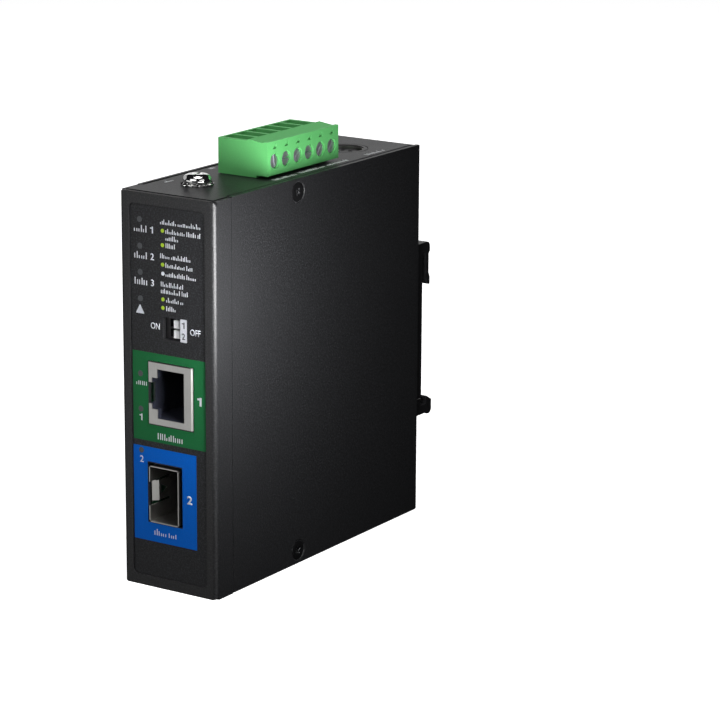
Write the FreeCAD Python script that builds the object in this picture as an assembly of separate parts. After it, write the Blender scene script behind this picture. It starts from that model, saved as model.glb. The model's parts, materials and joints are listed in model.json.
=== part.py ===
"""Industrial fibre media converter: a slim folded-sheet case on a DIN-rail clip.

One copper network socket and one pluggable-transceiver cage face the front (-Y), a six-pole screw
plug and a round power socket face up (+Z), and a sprung rail clip stands on the back (+Y).
Millimetres. While modelling, Y = 0 is the front face; each solid is shifted back by half of the
overall depth when it is written, so the origin is the centre of the footprint, on the base.
"""
import FreeCAD
import Part
import math
import os

Vector = FreeCAD.Vector

# ---------------------------------------------------------------- driving dimensions (mm)
case_width = 28.8
case_depth = 92.7
case_height = 101.4
sheet = 1.0                  # thickness of the folded steel sheet
bend_inner = 0.2             # inside radius of every fold
seam = 0.15                  # gap between neighbouring sheets
flange_reach = 7.1           # front panel's side flanges, from the front face
panel_corner = 1.1           # rounded corners of the front face
cover_corner = 0.25
cover_lift = 0.15            # side covers end this far above the base
side_flange = 9.0            # chassis flanges that carry the covers and the board
flange_front = 1.6           # where these flanges start
flange_back_gap = 2.0        # and how far from the back they end

power_lamp_share = (0.931, 0.8649, 0.7993, 0.7332)   # heights on the front, as shares of
port_lamp_share = (0.5444, 0.4551, 0.3491)           # the case height
dip_share = 0.6691
jack_share = 0.5
cage_share = 0.2406

pocket_margin = 2.9          # pressed pocket for the front label: from the case sides
pocket_bottom = 2.75
pocket_top_margin = 3.05
pocket_depth = 0.5
pocket_radius = 1.2
label_sheet = 0.15
label_gap = 0.2

board_inset = 8.0            # component face of the board, from the left side of the case
board_sheet = 1.6
board_front = 3.2
board_edge_gap = 2.2         # board to the inside of the base and of the top
board_back_gap = 1.8

jack_height = 13.5           # copper network socket, measured from the board
jack_width = 15.9
jack_depth = 18.0
jack_shell = 0.3
jack_mouth = (2.9, 11.15, 12.7)      # (near, far from the board, width): plug body
jack_step = (1.2, 2.9, 8.1)          # latch shoulder
jack_notch = (0.25, 1.2, 5.5)        # latch tip
jack_lift = 0.25             # shell above the board
jack_bend = 0.45             # bevelled fold beside the mouth
jack_lip = 1.3               # stepped front wall; the cavity is plain behind it
jack_room = 0.6              # cavity behind the wall, from the board
jack_cavity = 13.5
jack_contact_pitch = 1.016
jack_contact = 0.35
jack_wire = (2.4, 0.6, 3.0, 7.0)     # contact wire: start, thickness, rise, run
shell_corner = 0.5           # bevelled corners of both sheet shells
front_setback = 0.2          # sockets stop this far behind the front face

cage_height = 9.15           # transceiver cage, measured from the board
cage_width = 14.7
cage_depth = 48.0
cage_sheet = 0.25
cage_window_below = 0.15     # panel window beyond the cage
cage_window_above = 0.75
cage_window_far = 1.1        # away from the board
cage_window_near = 0.5
latch_width = 5.3
latch_length = 8.5
latch_lip = (2.7, 1.2)       # start behind the cage's front, outward reach at 45 degrees
latch_side_gap = 0.5
latch_hole = (0.8, 2.4, 2.6)         # behind the lip, length, width
finger_width = 2.0
finger_bulge = 0.45
finger_length = 4.2
finger_start = 1.4
finger_rows = (-4.6, -1.6, 1.6, 4.6)     # on the far wall, from the cage's middle
finger_side_rows = (2.4, 6.4)            # on the upper and lower walls, from the board
cage_floor_hole = (13.0, 1.0)            # open floor: from and to the rear wall
connector_block = (2.0, 9.0, 6.2, 11.6)  # from the rear wall, length, height, width
connector_slot = (2.6, 4.1, 9.6, 3.2)    # lower and upper edge, width, back wall

dip_length = 9.9             # two-way switch block, across the front
dip_height = 6.3
dip_depth = 5.6
dip_centre_x = 2.05
dip_face = 1.7               # face of the switch block behind the front
dip_pitch = 2.5
dip_window = (7.3, 5.6)
slider_length = 1.95
slider_width = 2.0
slider_stand = 0.9           # slider above the block's face
slider_sink = 1.6
slider_travel = 1.6
slider_slot = 0.05           # running gap round a slider
slider_centre_x = 2.35
slider_ridge = (0.45, 0.22, 0.18, 0.2)   # grooves: pitch, offset, width, depth
dip_lead = (0.5, 3.76, 1.2, 0.9, 0.8)    # thickness, from the middle, reach, stagger, tail

lamp_inset = 5.8             # lamp column, from the left side of the case
lamp_radius = 0.7
lamp_hole_gap = 0.05
lamp_bar = (2.4, 1.0)        # light-pipe bar: width, thickness
led_size = (1.2, 1.2, 1.8)
led_gap = 0.1                # board edge to lamp

poles = 6
pole_pitch = 5.08
plug_end_wall = 0.6
plug_centre_y = 45.6
plug_left = 0.5              # plug block's left face, from the board
plug_width = 15.2
plug_lift = 0.15             # plug block above the top plate
plug_flat = 9.3              # wire-entry side of the plug, above the top plate
plug_ridge = 9.7
plug_ridge_at = 9.3          # ridge, from the plug's left face
plug_slope_end = 1.4         # foot of the slope, from the right face
plug_slope = 9.1
plug_lip = 9.4
plug_lip_width = 1.0
plug_ridge_step = 0.5        # slope from the wire side up to the ridge
plug_notch_shape = (1.7, 7.4, 8.8, 3.0)  # width, lower and upper edge, depth
chamber_headroom = 0.25      # above the clamp cage
plug_foot = 0.6              # right foot above the left one
plug_foot_width = 3.5
tongue_left = 1.05           # plug-in tongue, from the board
tongue_height = 6.9
tongue_depth = 8.2           # below the top plate
tongue_end_gap = 0.85        # tongue shorter than the plug block, each end
chamber_width = 3.98         # wire chamber of one pole
chamber_left = 1.4           # from the board
chamber_right = 8.8
chamber_floor = 1.4          # above the top plate
clamp_z = 4.25               # screw axis above the top plate
cage_block = (7.4, 3.84, 5.2)        # clamp cage: along X, Y, Z
cage_block_left = 1.6        # from the board
cage_corner = 0.4
clamp_wall = (0.7, 0.35, 1.3)        # foot, side and threaded wall
clamp_thread = 1.5
thread_gap = 0.05
screw_tip = 7.05             # from the board
screw_head_seat = 12.6
screw_head = (1.85, 2.7)     # radius, height
screw_slot = (0.55, 0.8)     # width, depth
well_gap = 0.1
well_shoulder = 0.9
bar_near = 6.2               # contact bar, from the board
bar_sheet = 0.8
bar_width = 2.0
bar_top = 6.5
leaf_sheet = 0.5
leaf_gap = 0.08              # contact leaf to header pin
contact_room = 0.3
leaf_end = 7.6
bridge = 0.6
bridge_at = 1.6              # bridge underside below the top plate

# parts on the board: place along it and up, then their sizes, the height from the board last
transformer_at = (29.0, 16.0, 15.0, 6.0)
interface_chip_at = (46.0, 9.0, 1.0)
bridge_chip_at = (64.0, 26.0, 13.0, 1.2)
heatsink_at = (14.0, 7.0, 1.6, 1.0)      # size, height, base, fin thickness
heatsink_fins = 6
power_chip_at = (46.0, 72.0, 7.0, 1.0)
power_transformer_at = (62.0, 70.0, 13.0, 9.0)
input_choke_at = (82.0, 66.0, 10.0, 5.0)
output_choke_at = (30.0, 72.0, 10.0, 6.0)
input_capacitor_at = (80.0, 48.0, 5.0, 12.5)
output_capacitor_at = (66.0, 48.0, 5.0, 12.5)
alarm_relay_at = (81.0, 26.0, 7.5, 15.0, 10.0)
chip_bevel = 0.3
winding_corner = 1.5
winding_groove = (4.2, 3.6, 0.6)         # in a winding 10 wide: groove and core radius, depth
brick_corner = 0.6
crimp = (1.8, 0.8, 0.4)                  # capacitor crimp: height, width, depth

header_height = 8.9          # header housing, from the board
header_floor = 1.8
header_gap = 0.15            # header cavity to plug tongue
header_end_wall = 1.0
header_depth = 12.0          # below the top plate's outer face
pin_side = 1.0
pin_centre = 5.0             # from the board
pin_top = 2.4                # below the top plate's outer face
pin_tail = 1.0
pin_foot = 0.4               # pins start this far above the header's underside
top_hole_gap = 0.25

power_centre_y = 76.7        # round power socket
power_centre = 7.2           # from the board
power_radius = 6.3
power_body = 13.4
power_depth = 14.0
power_hole_gap = 0.25
power_corner = 1.0
power_ring = (5.35, 0.35)    # metal ring: outer radius, wall
power_ring_drop = 0.25
power_core = 3.9
power_core_drop = 0.8
power_well = 9.0
power_pin = (1.74, 0.7)      # pin hole distance from the axis, radius
power_sleeve = (1.5, 0.22)   # contact sleeve: below the core's face, wall
power_floor = 1.0            # under the core

cover_screw_y = 35.9
cover_screw_inset = 3.5      # from the top; from the base it is the same plus the cover lift
cover_screw = (2.8, 1.45, 4.0)       # head radius, shank radius, length
screw_hole_gap = 0.05
hidden_sides = 8             # sides of the hidden round holes and shanks
screw_sides = 12             # sides of the countersunk heads and of their holes
well_sides = 16              # sides of the wells round the clamp screws
socket_sides = 32            # sides of the round power socket
can_sides = 10               # sides of the round parts on the board
corner_steps = 2             # flats in each rounded corner of the front face
tongue_z = (27.0, 75.0)      # cover tongues behind the front flange
tongue_reach = 4.0
tongue_size = 8.0

ground_x = -1.3              # earthing screw on the top
ground_y = 14.6
ground_head = (3.6, 2.2)
ground_shank = (1.95, 8.0)
ground_dome = 1.1            # height of the head's rounded rim
ground_steps = ((0.4, 0.7), (1.2, 0.4))     # the rim's slopes: inward, height
washer_radius = 4.15
washer_hole = 2.1
washer_sheet = 0.7           # over the twisted teeth
ring_sheet = 0.4
washer_teeth = 11
tooth_size = (1.5, 1.1, 0.34)
tooth_reach = 0.9            # teeth beyond the ring
tooth_root = 0.6             # and inside it
tooth_twist = 20.0

standoff_radius = 2.4        # hexagonal posts
standoff_y = (20.0, 87.0)
standoff_inset = 5.5         # from the outside of base and top
board_screw = (2.7, 1.4, 1.8, 4.5)   # head radius, shank radius, head height, length

clip_margin = 2.0            # rail clip narrower than the case by this, each side
clip_base = 5.3
clip_top = 73.4
clip_bottom = 30.2
clip_slot = 1.9              # slot that takes the rail's upper edge
clip_slot_top = 70.8
clip_lip = 1.2
clip_lip_bottom = 61.5
clip_bead = 0.6              # the lip is thicker by this at its foot and at its top
clip_bead_z = (63.5, 70.7)   # upper end of the foot, lower end of the bead
clip_corner = 1.5
clip_slot_round = 0.6
clip_lip_slope = 1.0
channel_width = 14.0
channel_depth = 3.0
channel_top = 55.0
stop_block = (5.0, 2.0)      # spring stop in the channel: width, height
stop_bottom = 34.0
latch_slide_gap = 0.12
hook_bottom = 25.4
hook_shelf = 27.9
hook_tip = 30.1
hook_reach = 10.5            # rear face of the hook, behind the case
hook_lip = 2.8
hook_heel_drop = 0.5         # the rear end hangs below the rest of the foot
hook_gap = 0.2
hook_toe = (1.2, 1.0)        # bevel at the case side of the hook's foot
hook_heel = 0.8              # bevel at its rear
hook_nose = (1.4, 0.4)       # slope and blunt edge of the tip
pull_slot = (7.0, 3.1, 4.5, 2.2)     # screwdriver slot: width, from and to the case, depth
latch_window = (6.0, 32.4, 48.0)     # width, bottom, top
latch_top = 51.0
spring_radius = 1.0
spring_wire = 0.2
spring_turns = 5
spring_sides = 6             # straight runs in one turn of the coil
clip_screw = (2.5, 1.45, 6.8)         # head radius, shank radius, length
clip_sink = (1.6, 0.1)       # countersink depth, head below the face
clip_screw_row = 38.0        # the pair of screws above the base, and the single one
clip_screw_top = 65.0
clip_screw_inset = 2.7

# ---------------------------------------------------------------- places worked out from them
half_width = case_width / 2
clip_width = case_width - 2 * clip_margin
clip_screw_x = clip_width / 2 - clip_screw_inset
clip_screw_spots = ((-clip_screw_x, clip_screw_row), (clip_screw_x, clip_screw_row),
                    (0.0, clip_screw_top))
inner_x = half_width - sheet             # outside of the chassis sides, inside of covers
left = -half_width
board_x = left + board_inset
top = case_height
bend_outer = bend_inner + sheet
overall_depth = case_depth + hook_reach
dip_centre_z = dip_share * case_height
jack_centre_z = jack_share * case_height
cage_centre_z = cage_share * case_height
power_lamps = [share * case_height for share in power_lamp_share]
port_lamps = [share * case_height for share in port_lamp_share]
jack_x = (board_x + jack_lift, board_x + jack_lift + jack_height)
jack_z = (jack_centre_z - jack_width / 2, jack_centre_z + jack_width / 2)
cage_z = (cage_centre_z - cage_width / 2, cage_centre_z + cage_width / 2)
plug_length = poles * pole_pitch + 2 * plug_end_wall
tongue_length = plug_length - 2 * tongue_end_gap
pole_y = [plug_centre_y + (i - (poles - 1) / 2) * pole_pitch for i in range(poles)]
back = case_depth
clip_rear = back + clip_base
standoff_z = (standoff_inset, top - standoff_inset)
lamp_x = left + lamp_inset
cover_screw_z = (cover_screw_inset + cover_lift, top - cover_screw_inset)


# ---------------------------------------------------------------- small shape helpers
def block(x, y, z):
    """Box between two values on each axis."""
    return Part.makeBox(x[1] - x[0], y[1] - y[0], z[1] - z[0], Vector(x[0], y[0], z[0]))


def span(centre, size):
    return (centre - size / 2, centre + size / 2)


def facet_cone(start, direction, radius, far_radius, length, sides, hole=False):
    """Many-sided cone or rod; as a hole, its flats lie at the radius, so a screw fits inside."""
    reach = 1 / math.cos(math.pi / sides) if hole else 1
    turns = [2 * math.pi * (i + 0.5) / sides for i in range(sides)]
    low, high = [[Vector(size * reach * math.cos(turn), size * reach * math.sin(turn), height)
                  for turn in turns] for size, height in ((radius, 0), (far_radius, length))]
    outlines = [low[::-1], high]
    for i in range(sides):
        outlines.append([low[i - 1], low[i], high[i], high[i - 1]])
    faces = [Part.Face(Part.makePolygon(points + [points[0]])) for points in outlines]
    shape = Part.makeSolid(Part.makeShell(faces))
    shape.rotate(Vector(0, 0, 0), *turn_to(direction))
    shape.translate(Vector(*start))
    return shape


def facet_rod(start, direction, radius, length, sides=None, hole=False):
    return facet_cone(start, direction, radius, radius, length, sides or hidden_sides, hole)


def prism(outline, axis, low, high):
    """Extrude an outline, given in the two other axes, from low to high along one axis."""
    place = {"x": lambda a, b: Vector(low, a, b),
             "y": lambda a, b: Vector(a, low, b),
             "z": lambda a, b: Vector(a, b, low)}[axis]
    step = {"x": Vector(1, 0, 0), "y": Vector(0, 1, 0), "z": Vector(0, 0, 1)}[axis]
    points = [place(a, b) for a, b in outline]
    face = Part.Face(Part.makePolygon(points + [points[0]]))
    return face.extrude(step * (high - low))


def edges_along(shape, axis, chosen):
    """Straight edges that run along one axis and whose centre is chosen."""
    way = {"x": Vector(1, 0, 0), "y": Vector(0, 1, 0), "z": Vector(0, 0, 1)}[axis]
    edges = []
    for edge in shape.Edges:
        if edge.Curve.TypeId != "Part::GeomLine":
            continue
        run = edge.Vertexes[1].Point - edge.Vertexes[0].Point
        if run.cross(way).Length < 1e-6 and chosen(edge.CenterOfMass):
            edges.append(edge)
    return edges


def round_edges(shape, axis, radius, chosen=lambda centre: True):
    return shape.makeFillet(radius, edges_along(shape, axis, chosen))


def bevel_edges(shape, axis, size, chosen=lambda centre: True):
    return shape.makeChamfer(size, edges_along(shape, axis, chosen))


def fuse(shapes):
    whole = shapes[0].multiFuse(shapes[1:]) if len(shapes) > 1 else shapes[0]
    return whole.removeSplitter()


def both_sides(shape):
    """The shape and its mirror image across the case's middle."""
    return [shape, shape.mirror(Vector(0, 0, 0), Vector(1, 0, 0))]


def turn_to(direction):
    """Axis and angle that turn +Z to a direction."""
    turn = FreeCAD.Rotation(Vector(0, 0, 1), Vector(*direction))
    return turn.Axis, math.degrees(turn.Angle)


# ---------------------------------------------------------------- case
def chassis_flange():
    """Fold at the right edge of the top plate, with the side flange that hangs from it."""
    fold_start = inner_x - 2 * bend_outer
    front, rear = flange_reach + seam, back - flange_back_gap
    outline = [(fold_start, top), (inner_x, top), (inner_x, top - side_flange),
               (inner_x - sheet, top - side_flange), (inner_x - sheet, top - sheet),
               (fold_start, top - sheet)]
    fold = prism(outline, "y", front, rear)
    fold = round_edges(fold, "y", bend_outer, lambda c: c.x > inner_x - 0.01 and c.z > top - 0.01)
    fold = bevel_edges(fold, "y", bend_inner,
                       lambda c: abs(c.x - inner_x + sheet) < 0.01 and abs(c.z - top + sheet) < 0.01)
    tab = block((inner_x - sheet, inner_x), (flange_front, front),
                (top - side_flange, top - sheet - bend_outer))
    flat = block((fold_start, inner_x + 1), (front, rear), (top - sheet - 1, top + 1))
    return fold.fuse(tab), flat


def main_chassis():
    """Top, back and base plates folded from one sheet, with side flanges and all openings."""
    plate_front = sheet + bend_inner + seam
    outline = [(plate_front, top), (back, top), (back, 0), (plate_front, 0), (plate_front, sheet),
               (back - sheet, sheet), (back - sheet, top - sheet), (plate_front, top - sheet)]
    plates = prism(outline, "x", -inner_x, inner_x)
    plates = round_edges(plates, "x", bend_outer, lambda c: c.y > back - 0.01)
    plates = bevel_edges(plates, "x", bend_inner,
                         lambda c: abs(c.y - back + sheet) < 0.01)
    beside = block((inner_x - seam, half_width), (0, flange_reach + seam), (-1, top + 1))
    for strip in both_sides(beside):
        plates = plates.cut(strip)
    flange, flat = chassis_flange()
    middle = Vector(0, 0, top / 2)
    flanges = both_sides(flange) + both_sides(flange.mirror(middle, Vector(0, 0, 1)))
    flats = both_sides(flat) + both_sides(flat.mirror(middle, Vector(0, 0, 1)))
    for piece in flats:
        plates = plates.cut(piece)
    body = fuse([plates] + flanges)

    half_gap = top_hole_gap
    tongue_x = (board_x + tongue_left, board_x + tongue_left + tongue_height)
    body = body.cut(block((tongue_x[0] - half_gap, tongue_x[1] + half_gap),
                          span(plug_centre_y, tongue_length + 2 * half_gap), (top - 2, top + 1)))
    body = body.cut(facet_rod((board_x + power_centre, power_centre_y, top - 2), (0, 0, 1),
                              power_radius + power_hole_gap, 4, socket_sides))
    body = body.cut(facet_rod((ground_x, ground_y, top - 2), (0, 0, 1),
                              ground_shank[0] + screw_hole_gap, 4, hole=True))
    for z in cover_screw_z:
        body = body.cut(facet_rod((-half_width, cover_screw_y, z), (1, 0, 0),
                                  cover_screw[1] + screw_hole_gap, case_width, hole=True))
    for x, z in clip_screw_spots:
        body = body.cut(facet_rod((x, back - 2, z), (0, 1, 0),
                                  clip_screw[1] + screw_hole_gap, 4, hole=True))
    return body


def pocket(gap, front, rear):
    """Rounded upright slab that fills the label pocket, less a gap all round."""
    edge = half_width - pocket_margin - gap
    slab = block((-edge, edge), (front, rear),
                 (pocket_bottom + gap, top - pocket_top_margin - gap))
    return round_edges(slab, "y", pocket_radius - gap)


def port_windows(front, rear):
    """What the front panel and the label leave open for the sockets and the switch."""
    gap = label_gap
    jack = block((jack_x[0] - gap, jack_x[1] + gap), (front, rear),
                 (jack_z[0] - gap, jack_z[1] + gap))
    cage = block((board_x - cage_window_near, board_x + cage_height + cage_window_far),
                 (front, rear), (cage_z[0] - cage_window_below, cage_z[1] + cage_window_above))
    switch = block(span(dip_centre_x, dip_window[0]), (front, rear),
                   span(dip_centre_z, dip_window[1]))
    return [jack, cage, switch]


def panel_corners(height):
    """What the rounding takes off the four corners of the front face."""
    reach = panel_corner
    outline = [(half_width + 1, -1), (half_width + 1, reach)]
    for step in range(corner_steps + 1):
        turn = math.pi / 2 * step / corner_steps
        outline.append((half_width - reach + reach * math.cos(turn), reach - reach * math.sin(turn)))
    outline.append((half_width - reach, -1))
    low = prism(outline, "y", -1, bend_outer)
    high = low.mirror(Vector(0, 0, height / 2), Vector(0, 0, 1))
    return both_sides(low) + both_sides(high)


def front_panel():
    """Front sheet folded back along both sides, with the pressed label pocket."""
    height = top - seam
    outline = [(-half_width, flange_reach), (-half_width, 0), (half_width, 0),
               (half_width, flange_reach), (inner_x, flange_reach), (inner_x, sheet),
               (-inner_x, sheet), (-inner_x, flange_reach)]
    panel = prism(outline, "z", 0, height)
    panel = round_edges(panel, "z", bend_outer, lambda c: c.y < 0.01)
    panel = bevel_edges(panel, "z", bend_inner, lambda c: abs(c.y - sheet) < 0.01)
    for corner in panel_corners(height):
        panel = panel.cut(corner)
    panel = panel.fuse(pocket(0, sheet / 2, sheet + pocket_depth))
    panel = panel.cut(pocket(0, -1, pocket_depth)).removeSplitter()
    for window in port_windows(-1, sheet + pocket_depth + 1):
        panel = panel.cut(window)
    for z in power_lamps + port_lamps:
        panel = panel.cut(facet_rod((lamp_x, -1, z), (0, 1, 0), lamp_radius + lamp_hole_gap, 4,
                                    hole=True))
    return panel


def front_label():
    """Thin printed overlay in the pocket; its lamp windows are print only."""
    label = pocket(label_gap, pocket_depth - label_sheet, pocket_depth)
    for window in port_windows(-1, 1 + pocket_depth):
        label = label.cut(window)
    return label


def right_cover():
    """Flat side cover with two countersunk holes and two tongues behind the front flange."""
    start = flange_reach + seam
    cover = block((inner_x, half_width), (start, back), (cover_lift, top))
    cover = bevel_edges(cover, "x", cover_corner)
    root = sheet / 2
    tongue = [(inner_x + root, start + 2 * sheet), (inner_x - sheet - seam, start + 2 * sheet),
              (inner_x - sheet - seam, start - tongue_reach), (inner_x - seam, start - tongue_reach),
              (inner_x - seam, start + root), (inner_x + root, start + root)]
    for z in tongue_z:
        cover = cover.fuse(prism(tongue, "z", *span(z, tongue_size)))
    cover = cover.removeSplitter()
    head, shank = cover_screw[0] + screw_hole_gap, cover_screw[1] + screw_hole_gap
    for z in cover_screw_z:
        cover = cover.cut(facet_cone((inner_x, cover_screw_y, z), (1, 0, 0), shank, head, sheet,
                                     screw_sides, hole=True))
    return cover


def cover_screws():
    """Four countersunk screws, two to a side."""
    head, shank, length = cover_screw
    flush = shank + (head - shank) * (1 - seam / sheet)
    screws = []
    for z in cover_screw_z:
        cap = facet_cone((inner_x, cover_screw_y, z), (1, 0, 0), shank, flush, sheet - seam,
                         screw_sides)
        stem = facet_rod((half_width - length, cover_screw_y, z), (1, 0, 0), shank,
                         length - sheet)
        screws += both_sides(fuse([cap, stem]))
    return Part.makeCompound(screws)


def ground_screw():
    """Pan-head earthing screw, its head on the toothed washer."""
    radius, height = ground_head
    seat = top + washer_sheet
    spot = Vector(ground_x, ground_y, seat)
    head = facet_rod(spot, (0, 0, 1), radius, height - ground_dome, screw_sides)
    shape = [head]
    low = height - ground_dome
    for inward, rise in ground_steps:
        slope = facet_cone(spot + Vector(0, 0, low), (0, 0, 1), radius, ground_head[0] - inward,
                           rise, screw_sides)
        shape.append(slope)
        low += rise
        radius = ground_head[0] - inward
    shape.append(facet_rod((ground_x, ground_y, seat - ground_shank[1]), (0, 0, 1),
                           ground_shank[0], ground_shank[1]))
    return fuse(shape)


def ground_washer():
    """External-tooth lock washer: a flat ring whose twisted teeth bite both faces."""
    ring_edge = washer_radius - tooth_reach
    ring = facet_rod((ground_x, ground_y, top + washer_sheet / 2 - ring_sheet / 2), (0, 0, 1),
                     ring_edge, ring_sheet)
    teeth = []
    for i in range(washer_teeth):
        tooth = Part.makeBox(tooth_size[0], tooth_size[1], tooth_size[2],
                             Vector(-tooth_root, -tooth_size[1] / 2, -tooth_size[2] / 2))
        tooth.rotate(Vector(0, 0, 0), Vector(1, 0, 0), tooth_twist)
        tooth.translate(Vector(ring_edge, 0, washer_sheet / 2))
        tooth.rotate(Vector(0, 0, 0), Vector(0, 0, 1), 360.0 * i / washer_teeth)
        tooth.translate(Vector(ground_x, ground_y, top))
        teeth.append(tooth)
    washer = fuse([ring] + teeth)
    return washer.cut(facet_rod((ground_x, ground_y, top - 1), (0, 0, 1), washer_hole, 4,
                                hole=True))


# ---------------------------------------------------------------- board and what stands on it
def main_board(pins):
    """Upright circuit board with its mounting holes and pin holes."""
    board = block((board_x - board_sheet, board_x), (board_front, back - board_back_gap),
                  (sheet + board_edge_gap, top - sheet - board_edge_gap))
    for y in standoff_y:
        for z in standoff_z:
            board = board.cut(facet_rod((board_x - 3, y, z), (1, 0, 0),
                                        board_screw[1] + screw_hole_gap, 6, hole=True))
    room = (board_front - 1, front_setback + sum(latch_lip) + latch_side_gap)
    board = board.cut(block((board_x - board_sheet - 1, board_x + 1), room,
                            span(cage_centre_z, latch_width + 2 * latch_side_gap)))
    return board.cut(pins)


def standoffs():
    posts = []
    base_x = -inner_x + sheet
    for y in standoff_y:
        for z in standoff_z:
            post = facet_rod((base_x, y, z), (1, 0, 0), standoff_radius,
                             board_x - board_sheet - base_x, 6)
            hole = facet_rod((base_x - 1, y, z), (1, 0, 0), board_screw[1] + screw_hole_gap, 12,
                             hole=True)
            posts.append(post.cut(hole))
    return Part.makeCompound(posts)


def board_screws():
    head, shank, height, length = board_screw
    screws = []
    for y in standoff_y:
        for z in standoff_z:
            cap = facet_rod((board_x, y, z), (1, 0, 0), head, height)
            stem = facet_rod((board_x - length, y, z), (1, 0, 0), shank, length)
            screws.append(fuse([cap, stem]))
    return Part.makeCompound(screws)


def jack_opening(front, rear):
    """Stepped mouth of the network socket: plug body, latch shoulder and latch tip."""
    parts = []
    for near, far, width in (jack_mouth, jack_step, jack_notch):
        parts.append(block((board_x + near, board_x + far), (front, rear),
                           span(jack_centre_z, width)))
    return fuse(parts)


def jack_case():
    """Sheet shell round the network socket, open towards the board."""
    far = jack_x[1]
    front, rear = front_setback, front_setback + jack_depth
    shell = block(jack_x, (front, rear), jack_z)
    shell = bevel_edges(shell, "z", jack_bend, lambda c: c.x > far - 0.01 and c.y < front + 0.01)
    inside = block((board_x, far - jack_shell), (front + jack_shell, rear - jack_shell),
                   (jack_z[0] + jack_shell, jack_z[1] - jack_shell))
    shell = shell.cut(inside)
    return shell.cut(jack_opening(front - 1, front + 1))


def jack_insert():
    """Moulded housing inside the shell, with the plug cavity."""
    front, rear = front_setback + jack_shell, front_setback + jack_depth - jack_shell
    body = block((jack_x[0], jack_x[1] - jack_shell), (front, rear),
                 (jack_z[0] + jack_shell, jack_z[1] - jack_shell))
    cavity = block((board_x + jack_room, board_x + jack_mouth[1]),
                   (front + jack_lip, front + jack_cavity), span(jack_centre_z, jack_mouth[2]))
    return body.cut(jack_opening(front - 1, front + jack_lip + 1)).cut(cavity)


def jack_contacts():
    """Eight spring contacts that slope into the cavity from its far wall."""
    far = board_x + jack_mouth[1]
    start, thick, rise, run = jack_wire
    front = front_setback + start
    outline = [(far, front), (far, front + thick), (far - rise, front + run + thick),
               (far - rise, front + run)]
    wires = []
    for i in range(8):
        z = jack_centre_z + (i - 3.5) * jack_contact_pitch
        wires.append(prism(outline, "z", *span(z, jack_contact)))
    return Part.makeCompound(wires)


def spring_finger():
    """Bowed contact strip: outline in (outward, along the insertion)."""
    length, bulge = finger_length, finger_bulge
    return [(0, 0), (bulge, length * 0.35), (bulge, length * 0.55), (0, length),
            (-cage_sheet, length), (-cage_sheet, length * 0.9), (bulge - cage_sheet, length * 0.5),
            (bulge - cage_sheet, length * 0.4), (-cage_sheet, 0.1)]


def transceiver_cage():
    """Folded cage with its latch tongue, rear wall and bowed earthing fingers."""
    far = board_x + cage_height
    front, rear = front_setback, front_setback + cage_depth
    low, high = cage_z
    cage = block((board_x, far), (front, rear), (low, high))
    cage = bevel_edges(cage, "y", shell_corner)
    inside = block((board_x + cage_sheet, far - cage_sheet), (front - 1, rear - cage_sheet),
                   (low + cage_sheet, high - cage_sheet))
    cage = cage.cut(inside)
    cage = cage.cut(block((board_x - 1, board_x + 1),
                          (rear - cage_floor_hole[0], rear - cage_floor_hole[1]),
                          span(cage_centre_z, cage_width - 2 * cage_floor_hole[1])))
    latch = span(cage_centre_z, latch_width)
    cage = cage.cut(block((board_x - 1, board_x + 1), (front - 1, front + latch_length),
                          span(cage_centre_z, latch_width + 2 * latch_side_gap)))
    begin, reach = latch_lip
    bend, root = front + begin + reach, front + latch_length
    across = cage_sheet / math.sqrt(2)
    tongue = [(board_x - reach, front + begin), (board_x, bend), (board_x, root + cage_sheet),
              (board_x + cage_sheet, root + cage_sheet),
              (board_x + cage_sheet, bend + cage_sheet - 2 * across),
              (board_x - reach + across, front + begin - across)]
    behind, length, width = latch_hole
    start = bend + behind
    hole = prism([(start, cage_centre_z - width / 2), (start, cage_centre_z + width / 2),
                  (start + length, cage_centre_z)], "x", board_x - 1, board_x + 1)
    parts = [cage, prism(tongue, "z", *latch).cut(hole)]
    bow = [(out, front + finger_start + along) for out, along in spring_finger()]
    for offset in finger_rows:
        outline = [(far + out, along) for out, along in bow]
        parts.append(prism(outline, "z", *span(cage_centre_z + offset, finger_width)))
    for offset in finger_side_rows:
        x = span(board_x + offset, finger_width)
        parts.append(prism([(along, high + out) for out, along in bow], "x", *x))
        parts.append(prism([(along, low - out) for out, along in bow], "x", *x))
    return fuse(parts)


def transceiver_connector():
    """Twenty-way edge connector at the back of the cage."""
    inset, length, height, width = connector_block
    low, high, slot_width, wall = connector_slot
    rear = front_setback + cage_depth - inset
    body = block((board_x, board_x + height), (rear - length, rear), span(cage_centre_z, width))
    return body.cut(block((board_x + low, board_x + high), (rear - length - 1, rear - wall),
                          span(cage_centre_z, slot_width)))


def slider_room(index):
    """Slot of one slider; it reaches from the resting end to the other end of the travel."""
    z = dip_centre_z + (0.5 - index) * dip_pitch
    right = slider_centre_x + slider_length / 2 + slider_slot
    return block((right - slider_length - slider_travel - 2 * slider_slot, right),
                 (dip_face - 1, dip_face + slider_sink + slider_slot),
                 span(z, slider_width + 2 * slider_slot))


def dip_body():
    body = block(span(dip_centre_x, dip_length), (dip_face, dip_face + dip_depth),
                 span(dip_centre_z, dip_height))
    for index in range(2):
        body = body.cut(slider_room(index))
    return body


def dip_slider(index):
    """Sliding actuator with a finger pad that stands above the block."""
    z = dip_centre_z + (0.5 - index) * dip_pitch
    x = span(slider_centre_x, slider_length)
    body = block(x, (dip_face - slider_stand, dip_face + slider_sink), span(z, slider_width))
    pitch, offset, wide, deep = slider_ridge
    for index in (-1, 0, 1):
        body = body.cut(block(span(slider_centre_x + index * pitch + offset, wide),
                              (dip_face - slider_stand - 1, dip_face - slider_stand + deep),
                              span(z, slider_width * 2)))
    return body


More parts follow.
